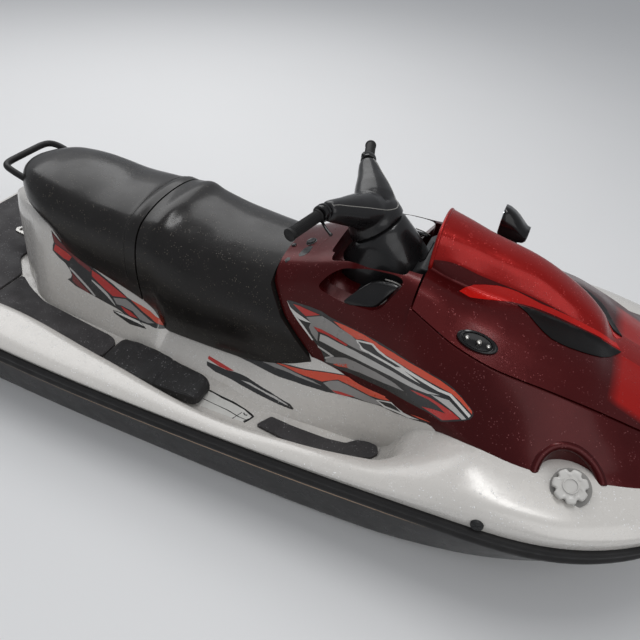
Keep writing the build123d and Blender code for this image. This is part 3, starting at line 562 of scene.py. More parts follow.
def nurbsPath(points, resolution, order=4):  # smooth line led by a route's control points
    data = bpy.data.curves.new("path", "CURVE")
    data.dimensions = "3D"
    spline = data.splines.new("NURBS")
    spline.points.add(len(points) - 1)
    for target, p in zip(spline.points, points):
        target.co = (*p, 1)
    spline.order_u, spline.use_endpoint_u = order, True
    spline.resolution_u = resolution
    helper = bpy.data.objects.new("path", data)
    scene.collection.objects.link(helper)
    mesh = settled(helper)
    out = [v.co.copy() for v in mesh.vertices]
    bpy.data.objects.remove(helper)
    return out


# shape tables, the same sections as the solids have
hullLines = [
    # x, keel z, chine y, chine z
    (-1560, -192, 500, -22),
    (-1250, -198, 515, -22),
    (-900, -200, 525, -20),
    (-450, -200, 532, -16),
    (0, -200, 532, -10),
    (250, -200, 530, -2),
    (470, -197, 522, 8),
    (560, -195, 516, 14),
    (750, -180, 490, 40),
    (950, -148, 436, 80),
    (1120, -102, 362, 124),
    (1260, -42, 280, 172),
    (1380, 38, 190, 224),
    (1470, 130, 105, 274),
    (1530, 235, 44, 322),
    (1554, 318, 16, 350),
]

deckLines = [
    # x, outer y z, top y z, crest y z, floor edge y z, middle z, underside z
    (-1560, 545, 241, 505, 246, 455, 238, 440, 152, 152, 110),
    (-1250, 573, 246, 520, 258, 425, 256, 405, 145, 145, 110),
    (-900, 595, 247, 545, 260, 430, 262, 400, 140, 140, 108),
    (-450, 606, 248, 560, 262, 488, 264, 445, 140, 140, 108),
    (0, 607, 262, 585, 268, 548, 268, 470, 140, 140, 108),
    (250, 607, 280, 575, 290, 540, 288, 455, 142, 142, 108),
    (470, 607, 303, 570, 318, 514, 312, 430, 165, 165, 120),
    (560, 607, 318, 568, 336, 500, 340, 432, 318, 318, 200),
    (750, 606, 348, 576, 380, 500, 398, 420, 405, 405, 258),
    (950, 593, 370, 562, 398, 490, 414, 425, 424, 426, 281),
    (1120, 535, 390, 500, 415, 445, 430, 400, 436, 446, 304),
    (1260, 437, 407, 402, 430, 360, 443, 330, 450, 458, 325),
    (1380, 306, 420, 276, 440, 238, 452, 200, 458, 466, 344),
    (1470, 175, 427, 152, 440, 120, 450, 90, 455, 462, 358),
    (1530, 72, 430, 60, 438, 45, 445, 30, 449, 452, 368),
    (1554, 26, 429, 21, 434, 15, 438, 9, 440, 441, 373),
]

pedestalLines = [
    # x, base y, side y, side z, top y, top z
    (-1168, 52, 42, 400, 34, 436),
    (-1100, 128, 104, 410, 88, 448),
    (-1030, 180, 140, 425, 122, 454),
    (-950, 240, 172, 446, 145, 458),
    (-890, 262, 186, 448, 150, 458),
    (-800, 275, 190, 362, 150, 446),
    (-600, 292, 200, 312, 150, 436),
    (-430, 306, 208, 268, 150, 430),
    (-370, 314, 215, 190, 150, 426),
    (-100, 345, 222, 198, 150, 424),
    (80, 370, 232, 258, 150, 424),
    (180, 362, 240, 312, 150, 424),
    (300, 352, 265, 338, 150, 424),
    (470, 352, 320, 372, 150, 424),
    (560, 385, 350, 388, 150, 424),
    (640, 400, 380, 398, 150, 424),
]

hoodLines = [
    # x, seam y z, shoulder y z, valley y z, hump side y z, hump top y z, middle z
    (452, 250, 652, 196, 698, 112, 706, 112, 735, 84, 806, 826),
    (500, 262, 634, 190, 690, 110, 690, 105, 740, 72, 800, 815),
    (600, 285, 602, 187, 662, 100, 668, 93, 718, 62, 778, 787),
    (725, 300, 582, 186, 645, 95, 660, 86, 700, 58, 752, 762),
    (870, 296, 569, 178, 622, 85, 634, 75, 662, 50, 692, 700),
    (960, 283, 550, 168, 596, 66, 602, 52, 612, 35, 632, 638),
    (1000, 276, 540, 162, 574, 62, 578, 48, 580, 30, 582, 584),
    (1050, 266, 525, 150, 556, 62, 562, 45, 564, 30, 565, 566),
    (1150, 240, 495, 130, 525, 60, 532, 45, 534, 30, 535, 536),
    (1270, 180, 476, 100, 492, 60, 496, 45, 497, 30, 498, 498),
    (1340, 120, 476, 75, 482, 50, 485, 38, 486, 26, 486, 486),
]

cowlRear = [
    # x, then y z pairs from the lower edge to the middle
    (-60, 212, 150, 212, 240, 190, 380, 150, 520, 110, 560, 0, 568),
    (60, 222, 150, 222, 270, 208, 400, 172, 560, 128, 608, 0, 622),
    (150, 228, 150, 228, 300, 218, 430, 194, 595, 148, 650, 0, 664),
    (250, 250, 150, 250, 325, 236, 450, 212, 605, 176, 692, 0, 696),
    (350, 285, 150, 285, 350, 262, 470, 228, 600, 188, 700, 0, 704),
    (445, 315, 150, 315, 368, 288, 490, 246, 638, 186, 700, 0, 706),
]

cowlFront = [
    # x, lower y z, flank y z; the hood's seat follows the hood's seam
    (445, 315, 368, 288, 490),
    (500, 335, 380, 306, 500),
    (600, 368, 397, 336, 490),
    (725, 420, 402, 368, 480),
    (870, 450, 407, 384, 470),
    (960, 440, 420, 372, 468),
    (1050, 425, 424, 358, 460),
    (1150, 395, 436, 330, 455),
    (1270, 322, 448, 272, 462),
    (1360, 215, 458, 180, 468),
    (1410, 120, 462, 90, 470),
]

rearSeatLines = [
    # x, then y z pairs from the lower edge to the middle, as for the front seat
    (-1085, 20, 522, 27, 548, 24, 570, 12, 578, 0, 579),
    (-1060, 70, 504, 84, 536, 77, 578, 40, 592, 0, 596),
    (-1020, 118, 490, 134, 528, 123, 585, 62, 604, 0, 609),
    (-950, 165, 478, 184, 515, 161, 590, 85, 617, 0, 622),
    (-880, 190, 455, 207, 505, 178, 588, 95, 621, 0, 628),
    (-800, 196, 368, 214, 480, 188, 582, 100, 617, 0, 626),
    (-650, 204, 325, 224, 460, 196, 572, 105, 608, 0, 618),
    (-540, 210, 298, 232, 450, 205, 568, 110, 606, 0, 616),
    (-487, 215, 285, 238, 442, 211, 570, 114, 610, 0, 620),
]

frontSeatLines = [
    (-481, 215, 284, 238, 442, 211, 570, 114, 610, 0, 620),
    (-441, 218, 262, 241, 438, 212, 570, 115, 609, 0, 619),
    (-380, 226, 193, 250, 400, 214, 560, 115, 600, 0, 612),
    (-250, 230, 196, 256, 380, 205, 545, 108, 583, 0, 596),
    (-100, 232, 201, 246, 380, 190, 540, 100, 575, 0, 586),
    (20, 236, 230, 236, 380, 172, 540, 90, 575, 0, 584),
    (100, 239, 264, 232, 390, 165, 545, 85, 580, 0, 590),
    (195, 241, 318, 228, 400, 160, 550, 80, 585, 0, 595),
]


# hull and deck, from the same section tables as the solids
hullValues = {"halfBeam": 615, "bowX": 1570, "curveFrom": 750, "curvePower": 2.73, "tuckFrom": 400,
              "tuckLength": 1170, "tuck": 60, "railLow": 231, "railRise": 193.5, "riseFrom": 600,
              "riseLength": 2180, "standOff": 16, "sideGap": 22, "ledge": 30, "lip": 26, "innerLip": 28,
              "strakeOut": 0.35, "strakeUp": 0.08, "step": 26}


def railY(x):
    x = np.asarray(x, float)
    v = hullValues
    ahead = np.clip((x - v["curveFrom"]) / (v["bowX"] - v["curveFrom"]), 0, 1) ** v["curvePower"]
    behind = np.clip((-x - v["tuckFrom"]) / v["tuckLength"], 0, None) ** 2
    return v["halfBeam"] * (1 - ahead) - v["tuck"] * behind


def railZ(x):
    v = hullValues
    ahead = np.clip(np.asarray(x, float) + v["riseFrom"], 0, None)
    return v["railLow"] + v["railRise"] * (ahead / v["riseLength"]) ** 2


denseX = denseFrom([row[0] for row in hullLines], hullValues["step"])


def partingAt(x):
    v = hullValues
    row = readTable(deckLines, x)
    edgeY, edgeZ = railY(x) - v["standOff"], railZ(x) - v["sideGap"]
    ledgeY = np.maximum(edgeY - v["ledge"], edgeY * 0.75)
    innerY = np.minimum(row[:, 6] + v["innerLip"], ledgeY * 0.9)
    return row, edgeY, edgeZ, ledgeY, innerY, row[:, 9]


def hullHalves(x):
    keelZ, chineY, chineZ = readTable(hullLines, x).T
    row, edgeY, edgeZ, ledgeY, innerY, underZ = partingAt(x)
    stepY = chineY + (edgeY - chineY) * hullValues["strakeOut"]
    stepZ = chineZ + (edgeZ - 30 - chineZ) * hullValues["strakeUp"]
    nil = np.zeros_like(keelZ)
    pairs = [(nil, keelZ), (chineY, chineZ), (stepY, stepZ), (edgeY, edgeZ - hullValues["lip"]), (edgeY, edgeZ),
             (ledgeY, edgeZ), (innerY, underZ), (nil, underZ)]
    return halfPath(pairs)


def deckHalves(x):
    row, edgeY, edgeZ, ledgeY, innerY, underZ = partingAt(x)
    nil = np.zeros_like(edgeY)
    pairs = [(nil, underZ), (innerY, underZ), (ledgeY, edgeZ), (edgeY, edgeZ), (edgeY, railZ(x) + 2),
             (row[:, 0], row[:, 1]), (row[:, 2], row[:, 3]), (row[:, 4], row[:, 5]), (row[:, 6], row[:, 7]),
             (nil, row[:, 8])]
    return halfPath(pairs)


hullMesh = skinMesh(denseX, roundedLoops(fullLoops(hullHalves(denseX)), fullSpec([14, 6, 18, 12, 1, 1, 1, 1]),
                                         fullSpec([5, 3, 5, 5, 1, 1, 1, 1])))
hullCuts = {"tunnel": boxMesh(-1562, -1150, -125, 125, -212, 28),
            "nozzleBay": boxMesh(-1562, -1391, -150, 150, -165, 85),
            "intake": prism([(-1152, -120), (-960, -150), (-640, -198), (-640, -240), (-1152, -240)], -75, 75),
            "engineBay": boxMesh(-780, 60, -170, 170, -120, 122),
            "storage": boxMesh(640, 1090, -165, 165, 214.5, 700)}
hullSkin = keep(carved(hullMesh, hullCuts.values()), "hullSkin", "hull", "hullDark", 28)
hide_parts("hull_bottom")

deckMesh = skinMesh(denseX, roundedLoops(fullLoops(deckHalves(denseX)),
                                         fullSpec([1, 1, 1, 1, 5, 14, 34, 30, 30, 60]),
                                         fullSpec([1, 1, 1, 1, 3, 6, 9, 8, 8, 7])))
deckCuts = {"engineBay": boxMesh(-780, 60, -100, 100, 60, 400),
            "storage": boxMesh(640, 1090, -165, 165, 200, 700),
            "hinge": boxMesh(1324, 1368, -75, 75, 450, 530)}
deckSkin = keep(carved(deckMesh, deckCuts.values()), "deckSkin", "hull", "deckPearl", 30)
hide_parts("deck")


# pedestal between the footwells, hollow over the engine
pedestalValues = {"floor": 120, "step": 9, "clearance": 6}


def pedestalLoops(grow, x):
    row = readTable(pedestalLines, x)
    nil = np.zeros(len(row))
    reach = np.where(x > -1160, grow, grow * 0.6)
    foot = nil + pedestalValues["floor"]
    pairs = [(nil, foot), (row[:, 0] + reach, foot), (row[:, 1] + reach, row[:, 2]),
             (row[:, 3] + reach, row[:, 4] + grow), (nil, row[:, 4] + grow)]
    return fullLoops(halfPath(pairs))


def pedestalMesh(grow, softness=1.0):
    x = denseFrom([row[0] for row in pedestalLines], pedestalValues["step"])
    loops = roundedLoops(pedestalLoops(grow, x), [r * softness for r in fullSpec([0, 2, 20, 16, 30])],
                         fullSpec([1, 2, 5, 4, 3]))
    if grow:
        x = x.copy()
        x[0] -= grow
    return skinMesh(x, loops)


pedestalCuts = {"engineBay": boxMesh(-780, 60, -100, 100, 100, 430),
                "underSeat": boxMesh(-760, -480, -112, 112, 300, 560)}
pedestalSkin = keep(carved(pedestalMesh(0), pedestalCuts.values()), "pedestalSkin", "hull", "deckPearl", 30)
print("hull, deck and pedestal made")


# rub rail: a moulded rubber band that follows the deck edge round the bow
railValues = {"stations": [-1560, -900, 0, 750, 1120, 1400, 1540, 1566], "step": 30, "tip": 1568.5, "least": 4,
              "profile": [(16.2, -46), (5, -46), (1.5, -43), (0, -36), (0, -31), (3, -27), (3, -18), (0, -14),
                          (0, -9), (2, -3), (6, 0), (16.2, 0)]}  # inward, up


def railMesh(v):
    x = np.append(denseFrom(v["stations"], v["step"]), v["tip"])
    y = np.maximum(railY(x), v["least"])
    z = railZ(x)
    line = [(x[i], -y[i], z[i]) for i in range(len(x))] + [(x[i], y[i], z[i]) for i in range(len(x) - 1, -1, -1)]
    rings = []
    for i, p in enumerate(line):
        a, b = line[max(i - 1, 0)], line[min(i + 1, len(line) - 1)]
        ahead = Vector((b[0] - a[0], b[1] - a[1], 0)).normalized()
        inward = Vector((-ahead.y, ahead.x, 0))
        rings.append([((p[0] + inward.x * d) * milli, (p[1] + inward.y * d) * milli, (p[2] + h) * milli)
                      for d, h in v["profile"]])
    return loftMesh(rings, "rail")


tailCap = prism([(-1569, 112), (-1560, 112), (-1560, 146), (-1569, 146)], -500, 500)
railSkin = keep(joined([railMesh(railValues), subdivided(tailCap, 0, 0.003)]), "railSkin", "hull", "railRubber", 40)
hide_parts("rub_rail")
print("rub rail made")


# cowl over the front of the pedestal
cowlValues = {"step": 22, "gap": 5, "nose": [(1270, 180, 471), (1360, 100, 468), (1410, 50, 471)]}
seatLine = [(-5, 700), (-5, 520), (52, 430), (190, 305), (400, 150), (-500, 150), (-500, 700)]


def cowlMesh(v):
    rearX = denseFrom([-60, 60, 150, 250, 350, 445], v["step"])
    rear = fromMiddle(halvesOf(cowlRear, rearX))
    rearMesh = skinMesh(rearX, roundedLoops(fullLoops(rear), fullSpec([1, 1, 40, 110, 110, 60, 120]),
                                            fullSpec([1, 1, 6, 9, 9, 8, 9])))
    foreX = denseFrom([row[0] for row in cowlFront], v["step"])
    rows = readTable(cowlFront, foreX)
    seam = readTable(hoodLines, foreX)
    nose = readTable(v["nose"], foreX)
    past = foreX > v["nose"][0][0]
    seatY = np.where(past, nose[:, 0], seam[:, 0])
    seatZ = np.where(past, nose[:, 1], seam[:, 1] - v["gap"])
    nil = np.zeros(len(foreX))
    pairs = [(nil, nil + 250), (rows[:, 0], nil + 250), (rows[:, 0], rows[:, 1]), (rows[:, 2], rows[:, 3]),
             (seatY, seatZ), (nil, seatZ)]
    foreMesh = skinMesh(foreX, roundedLoops(fullLoops(halfPath(pairs)), fullSpec([1, 1, 16, 60, 6, 1]),
                                            fullSpec([1, 1, 5, 9, 4, 1])))
    return carved(rearMesh, [foreMesh], "UNION")


windowOutline = [(147, 572), (180, 625), (221, 661), (300, 684), (380, 690), (409, 684), (353, 584), (235, 566)]
channelPlan = [(168, -150), (300, -176), (405, -170), (405, -105), (168, -70)]


def easedOutline(outline, reach, samples=7):
    loop = np.array(outline, float)[None]
    return [tuple(p) for p in roundedLoops(loop, [reach] * len(outline), [samples] * len(outline))[0]]


podPlan = [(330, -150), (446, -150), (470, -130), (470, 130), (446, 150), (330, 150)]
columnPlan = [(155, -118), (485, -118), (485, 118), (155, 118)]
capArch = [(972 - 77 * math.cos(a), -430 - 60 * math.sin(a)) for a in circle(48)]
cowlCuts = [prism(seatLine, -420, 420), boxMesh(640, 1090, -165, 165, 214, 900),  # seat, storage
            boxMesh(1324, 1368, -75, 75, 450, 530)]  # hinge
cowlCuts += bothSides(prism(easedOutline(windowOutline, 26), -340, -120))
cowlCuts += bothSides(prism(easedOutline(channelPlan, 18), 566, 850, "xy"))
cowlCuts += [prism(easedOutline(podPlan, 12), 618, 850, "xy"), prism(easedOutline(columnPlan, 20), 610, 850, "xy")]
cowlCuts += bothSides(prism(capArch, 300, 620, "xy"))
cowlSkin = keep(carved(cowlMesh(cowlValues), cowlCuts), "cowlSkin", "hull", "cowlMaroon", 32)
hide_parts("cowl")
print("cowl made")


# hood: a shell with a raised hump, hinged at the bow
hoodValues = {"wall": 8, "step": 20}
hoodTable = [row[:11] + (0,) + row[11:] for row in hoodLines]


def hoodLoops(x, v):
    outer = halvesOf(hoodTable, x)
    inner = outer.copy()
    inner[:, :, 1] -= v["wall"]
    inner[:, :-1, 0] -= v["wall"]
    inner[:, 0, 1] += v["wall"]
    near = np.array([-1, 1])
    return np.concatenate([outer * near, outer[:, -2::-1], inner, (inner[:, ::-1] * near)[:, 1:]], axis=1)


hoodX = denseFrom([row[0] for row in hoodLines], hoodValues["step"])
hoodReach, hoodSteps = [(row + row[-2::-1]) * 2 for row in ([1, 40, 8, 8, 34, 60], [1, 8, 4, 4, 9, 9])]
hoodMesh = skinMesh(hoodX, roundedLoops(hoodLoops(hoodX, hoodValues), hoodReach, hoodSteps))
hoodSkin = keep(hoodMesh, "hoodSkin", "hood", ["hoodFlank", "hoodRed"], 30)
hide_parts("hood")
for face in hoodSkin.data.polygons:  # painted light: one red paint in two tones, the hump in its lit bright red, the flanks in the same shaded dark tone as the cowl
    middle = face.center / milli
    humpY, humpZ = readTable(hoodLines, middle.x)[0][6:8]
    if abs(middle.y) < humpY + 1 and middle.z > humpZ - 3:
        face.material_index = 1
print("hood made")


# saddle: two padded pieces, the rear one with a piped seam
saddleValues = {"step": 12, "clearTo": 0.5,
                # cross ribs and hollows of the padding: x, width, height
                "rearRolls": [(-514, 18, 7), (-700, 90, -6), (-1000, 60, 4)],
                "frontRolls": [(-418, 34, 11), (-250, 80, -3)]}


def saddleMesh(table, v, rolls):
    x = denseFrom([row[0] for row in table], v["step"])
    loops = roundedLoops(fullLoops(fromMiddle(halvesOf(table, x))), fullSpec([1, 6, 90, 70, 70, 140]),
                         fullSpec([1, 4, 10, 10, 9, 9]))
    for place, width, height in v[rolls]:
        lift = height * np.exp(-((x - place) / width) ** 2)[:, None]
        loops[:, :, 1] += lift * np.clip((loops[:, :, 1] - 480) / 100, 0, 1) ** 2
    return x, loops


rearX, rearLoops = saddleMesh(rearSeatLines, saddleValues, "rearRolls")
frontX, frontLoops = saddleMesh(frontSeatLines, saddleValues, "frontRolls")
rearCut = pedestalMesh(pedestalValues["clearance"], 0.4)
seatRear = keep(carved(skinMesh(rearX, rearLoops), [rearCut]), "seatRear", "rear_seat", "seatVinyl", 50)
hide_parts("seat_rear")
frontLine = [(-9, 760), (-9, 516), (48, 426), (186, 301), (404, 150), (600, 150), (600, 760)]
frontCuts = [pedestalMesh(saddleValues["clearTo"], 0.4), prism(frontLine, -420, 420)]
seatFront = keep(carved(skinMesh(frontX, frontLoops), frontCuts), "seatFront", "hull", "seatVinyl", 50)
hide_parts("seat_front")
print("saddle made")


# printed stripes along the sides, laid on the skins as thin films: film, layer, outline in x and z
pedestalStripes = [
    ("blackFilm", 0, [(-873, 433), (-842, 399), (-763, 353), (-616, 302), (-548, 273), (-454, 254), (-415, 235),
        (-388, 218), (-372, 202), (-377, 197), (-442, 211), (-524, 212), (-579, 226), (-768, 250), (-806, 265),
        (-793, 273), (-789, 285), (-799, 300), (-820, 322), (-841, 336), (-868, 360), (-867, 379), (-863, 392)]),
    ("redFilm", 1, [(-857, 386), (-795, 349), (-806, 332), (-825, 338), (-863, 363)]),
    ("deepRedFilm", 1, [(-870, 427), (-841, 395), (-805, 369), (-762, 347), (-718, 332), (-708, 325), (-716, 316),
        (-769, 336), (-859, 391)]),
    ("redFilm", 1, [(-708, 325), (-673, 316), (-551, 272), (-608, 263), (-645, 277), (-705, 305)]),
    ("silverFilm", 1, [(-704, 293), (-667, 281), (-630, 265), (-600, 244), (-589, 233), (-632, 256), (-703, 288)]),
    ("silverFilm", 1, [(-800, 311), (-707, 260), (-678, 242), (-684, 240), (-758, 279), (-800, 304)]),
    ("deepRedFilm", 1, [(-790, 295), (-753, 271), (-700, 242), (-732, 247), (-764, 255), (-784, 266), (-785, 282)]),
    ("greyFilm", 1, [(-605, 258), (-555, 267), (-537, 262), (-446, 226), (-426, 221), (-450, 216), (-484, 219),
        (-518, 237), (-565, 242), (-587, 241)]),
    ("redFilm", 2, [(-569, 240), (-530, 234), (-492, 220), (-526, 220), (-549, 228)]),
    ("orangeFilm", 1, [(-534, 270), (-496, 264), (-454, 254), (-415, 235), (-388, 217), (-374, 202), (-385, 204),
        (-440, 232), (-484, 248)]),
    ("blackFilm", 0, [(-598, 217), (-568, 219), (-483, 214), (-450, 197), (-519, 193), (-565, 203), (-593, 210)]),
    ("blackFilm", 0, [(-198, 163), (-123, 164), (-34, 174), (68, 180), (148, 178), (165, 170), (161, 166), (58, 162),
        (-47, 154), (-91, 153), (-154, 152), (-191, 156)]),
    ("whiteFilm", 1, [(-594, 216), (-547, 217), (-486, 213), (-462, 203), (-489, 206), (-567, 211)]),
    ("redFilm", 1, [(-200, 174), (-89, 169), (-111, 165), (-144, 164), (-198, 168)]),
    ("silverFilm", 1, [(-50, 162), (40, 170), (93, 172), (144, 171), (139, 174), (91, 177), (-15, 169)]),
    ("blackFilm", 0, [(-141, 206), (-94, 210), (-54, 216), (65, 249), (300, 333), (370, 350), (439, 365), (601, 389),
        (624, 389), (623, 383), (581, 359), (536, 339), (487, 322), (437, 314), (387, 296), (254, 256), (141, 237),
        (83, 222), (-24, 204), (-64, 199), (-106, 198)]),
    ("orangeFilm", 1, [(33, 239), (105, 260), (300, 331), (440, 364), (602, 387), (621, 386), (594, 373), (564, 362),
        (509, 349), (490, 354), (472, 356), (431, 336), (397, 325), (281, 309), (231, 278), (157, 265)]),
    ("greyFilm", 1, [(236, 276), (256, 292), (282, 306), (363, 316), (423, 326), (439, 319), (420, 309), (386, 298),
        (352, 290), (284, 267)]),
    ("redFilm", 2, [(271, 270), (298, 279), (351, 291), (319, 276), (291, 269)]),
    ("whiteFilm", 1, [(419, 325), (470, 352), (487, 352), (510, 343), (540, 349), (562, 356), (529, 338),
        (450, 318)]),
    ("blackFilm", 2, [(428, 327), (468, 346), (484, 345), (504, 339), (453, 326)]),
    ("orangeFilm", 1, [(-137, 204), (-102, 208), (-60, 204), (-90, 200), (-120, 201)]),
    ("greyFilm", 1, [(-17, 222), (34, 238), (151, 261), (201, 266), (235, 266), (165, 257), (113, 247), (52, 232),
        (5, 223)]),
]
cowlStripes = [
    ("blackFilm", 0, [(54, 481), (100, 440), (205, 363), (215, 348), (220, 331), (241, 332), (279, 340), (315, 353),
        (352, 362), (456, 383), (587, 402), (622, 402), (682, 444), (693, 453), (698, 464), (695, 473), (651, 493),
        (627, 501), (601, 506), (571, 507), (386, 507), (247, 500), (212, 500), (182, 505), (139, 501), (72, 487)]),
    ("redFilm", 1, [(79, 480), (104, 485), (177, 490), (130, 462)]),
    ("greyFilm", 1, [(133, 460), (185, 490), (218, 487), (251, 481), (295, 478), (315, 471), (336, 457), (369, 456),
        (331, 447), (296, 443), (222, 444), (162, 440), (182, 425), (183, 394), (160, 411), (147, 429), (151, 448)]),
    ("orangeFilm", 1, [(227, 493), (266, 498), (336, 502), (388, 500), (521, 505), (584, 503), (632, 496),
        (655, 489), (691, 473), (694, 466), (653, 480), (627, 486), (495, 485), (411, 482), (393, 484), (363, 491),
        (329, 485), (314, 476), (258, 482)]),
    ("whiteFilm", 1, [(310, 473), (366, 493), (391, 484), (418, 480), (463, 482), (592, 481), (625, 485), (692, 462),
        (689, 455), (622, 478), (588, 473), (479, 473), (534, 465), (335, 453)]),
    ("blackFilm", 2, [(320, 472), (364, 486), (386, 477), (417, 474), (468, 476), (453, 468), (341, 461)]),
    ("greyFilm", 1, [(223, 348), (246, 368), (288, 393), (324, 403), (394, 413), (464, 418), (496, 415), (431, 397),
        (348, 379), (313, 367), (290, 362), (225, 335)]),
    ("orangeFilm", 1, [(251, 343), (284, 371), (299, 376), (312, 370), (269, 347)]),
    ("redFilm", 1, [(512, 431), (542, 439), (573, 444), (642, 444), (668, 440), (624, 408), (559, 406), (588, 418),
        (628, 430), (598, 436), (569, 437), (538, 432)]),
    ("silverFilm", 1, [(573, 454), (624, 467), (684, 449), (674, 442), (644, 447)]),
    ("whiteFilm", 1, [(56, 478), (71, 464), (93, 458), (151, 448), (133, 443), (107, 441), (87, 446), (104, 440),
        (129, 424), (169, 390), (164, 388), (94, 440), (72, 458)]),
    ("redFilm", 2, [(163, 440), (192, 444), (289, 441), (283, 435), (205, 435), (180, 431)]),
    ("silverFilm", 1, [(190, 425), (210, 428), (261, 429), (316, 436), (562, 458), (597, 466), (564, 451),
        (525, 442), (321, 413), (266, 403), (190, 400)]),
    ("silverFilm", 1, [(186, 379), (251, 374), (220, 345), (219, 351), (239, 367), (190, 373)]),
]
stripeValues = {"grid": 6.0, "lift": 0.6, "layer": 0.8, "sunk": 0.5}
filmOrder = ["blackFilm", "redFilm", "deepRedFilm", "orangeFilm", "greyFilm", "silverFilm", "whiteFilm"]


def skinTree(piece):
    return BVHTree.FromObject(piece, bpy.context.evaluated_depsgraph_get())


def gridded(outline, grid, margin):  # the outline filled with triangles
    edge = []
    for a, b in zip(outline, outline[1:] + outline[:1]):
        count = max(1, math.ceil(math.dist(a, b) / grid))
        edge += [(a[0] + (b[0] - a[0]) * k / count, a[1] + (b[1] - a[1]) * k / count) for k in range(count)]
    low, high = [[pick(p[axis] for p in outline) for axis in (0, 1)] for pick in (min, max)]
    inner = [(x, y) for x in np.arange(low[0] + margin, high[0], grid)
             for y in np.arange(low[1] + margin, high[1], grid)]
    points, _, faces = delaunay_2d_cdt([Vector(p) for p in edge + inner], [], [list(range(len(edge)))], 1, 0.01)[:3]
    return points, faces


def sandwich(outer, under, faces, name):  # two layers of the same triangles, closed round the rim
    count = len(outer)
    sides = dict.fromkeys((a, b) for face in faces for a, b in zip(face, face[1:] + face[:1]))
    rim = [(b, a, a + count, b + count) for a, b in sides if (b, a) not in sides]
    return meshFrom(outer + under, faces + [tuple(i + count for i in reversed(face)) for face in faces] + rim, name)


def filmMesh(outline, tree, layer, v, slant=0.0, floor=None):
    turn = math.radians(slant)  # the outline is thrown on to the skin from starboard, at 90 from above
    ahead, up = Vector((0, math.cos(turn), -math.sin(turn))), Vector((0, math.sin(turn), math.cos(turn)))
    points, faces = gridded(outline, v["grid"], 3)
    used = sorted({i for face in faces for i in face})
    place = {i: k for k, i in enumerate(used)}
    outer, under = [], []
    for i in used:
        start = Vector((points[i].x * milli, 0, 0)) + up * points[i].y * milli - ahead * 1.2
        hit, normal = tree.ray_cast(start, ahead)[:2]
        if hit is None:
            hit, normal = tree.find_nearest(start + ahead * 0.9)[:2]
        if floor and start.x < 0.05:  # the footwell's fillet may stand before the pedestal
            nearer, facing = floor.ray_cast(Vector((start.x, -0.385, start.z)), ahead, 0.3)[:2]
            if nearer and nearer.y < hit.y:
                hit, normal = nearer, facing
        normal = normal if normal.dot(ahead) < 0 else -normal
        outer.append(hit + normal * (v["lift"] + v["layer"] * layer) * milli)
        under.append(hit - normal * v["sunk"] * milli)
    return sandwich(outer, under, [tuple(place[i] for i in face) for face in faces], "film")


def stripeSet(stripes, skin, name):
    tree = skinTree(skin)
    floor = skinTree(deckSkin) if skin is pedestalSkin else None
    used = [film for film in filmOrder if any(row[0] == film for row in stripes)]
    parts = []
    for film, layer, outline in stripes:
        for mesh in bothSides(filmMesh(outline, tree, layer, stripeValues, 0.0, floor)):
            for face in mesh.polygons:
                face.material_index = used.index(film)
            parts.append(mesh)
    piece = keep(joined(parts), name, "hull", used, 30)


stripeSet(pedestalStripes, pedestalSkin, "pedestalStripes")
stripeSet(cowlStripes, cowlSkin, "cowlStripes")
print("side stripes laid")


# steering: cone fixed on the cowl, the moulded cover that turns with the bar
steeringValues = {"head": (0.262, 0.0, 0.745), "axis": (-0.39761, 0.0, 0.91755), "back": -0.018,
                  "neck": 0.0745, "flare": 0.0885, "rise": 0.2976, "swell": 0.012,
                  "foot": (0.312, 0.15, 0.107), "footTop": 0.600, "footLow": 0.566,
                  "skirt": 0.0875, "skirtTilt": 40.0, "bore": 0.0845,
                  "gripCore": 0.0160, "gripRibs": 26, "ribDepth": 0.0011, "gripEnd": 0.012}
acrossAxis = Vector((0.91755, 0, 0.39761))


def onAxis(distance):
    return Vector(steeringValues["head"]) + Vector(steeringValues["axis"]) * distance


def behindAxis(distance):  # the cone and its cover bulge a little behind the turning axis
    return onAxis(distance) + acrossAxis * steeringValues["back"]


def coneMesh(v):  # neck inside the cover, a flare just under it, then a long sweep to the console
    angles = circle(56)

    def ring(radius, height, follow):  # follow: runs parallel to the cover's tilted lower edge
        return [behindAxis(height + follow * v["rise"] * (v["back"] + radius * math.cos(a)))
                + acrossAxis * radius * math.cos(a) + Vector((0, radius * math.sin(a), 0)) for a in angles]

    footX, footLong, footWide = v["foot"]
    foot = [Vector((footX + footLong * squared(math.cos(a), 0.75), footWide * squared(math.sin(a), 0.7),
                    v["footTop"])) for a in angles]
    neck, flare = v["neck"], v["flare"]
    rings = [ring(neck * 0.86, 0.026, 0), ring(neck * 0.95, 0.021, 0), ring(neck, 0.006, 0), ring(neck, -0.018, 1),
             ring(flare * 0.94, -0.0235, 1), ring(flare, -0.0285, 1)]
    top = rings[-1]
    for t in (0.12, 0.28, 0.46, 0.64, 0.82, 1.0):
        swell = v["swell"] * math.sin(math.pi * t)
        rings.append([p.lerp(q, t) + Vector((swell * max(0.0, math.cos(a)), 0, 0))
                      for p, q, a in zip(top, foot, angles)])
    rings.append([(p.x, p.y, v["footLow"]) for p in foot])
    return loftMesh(rings, "cone")


columnHole = turned([(0, 0), (0.016, 0), (0.016, 1), (0, 1)], onAxis(0.05), onAxis(-0.07), 32, True)
steeringCone = keep(carved(coneMesh(steeringValues), [columnHole]), "steeringCone", "hull", "blackSatin", 45)
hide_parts("steering_cone")


armSections = [((0.238, 0.0, 0.772), 0.066, 0.047), ((0.224, 0.032, 0.781), 0.066, 0.049),  # centre, half width, rise
               ((0.201, 0.075, 0.793), 0.056, 0.045), ((0.177, 0.118, 0.806), 0.042, 0.037),
               ((0.154, 0.158, 0.819), 0.032, 0.030), ((0.147, 0.169, 0.822), 0.028, 0.027),
               ((0.145, 0.173, 0.823), 0.018, 0.018)]


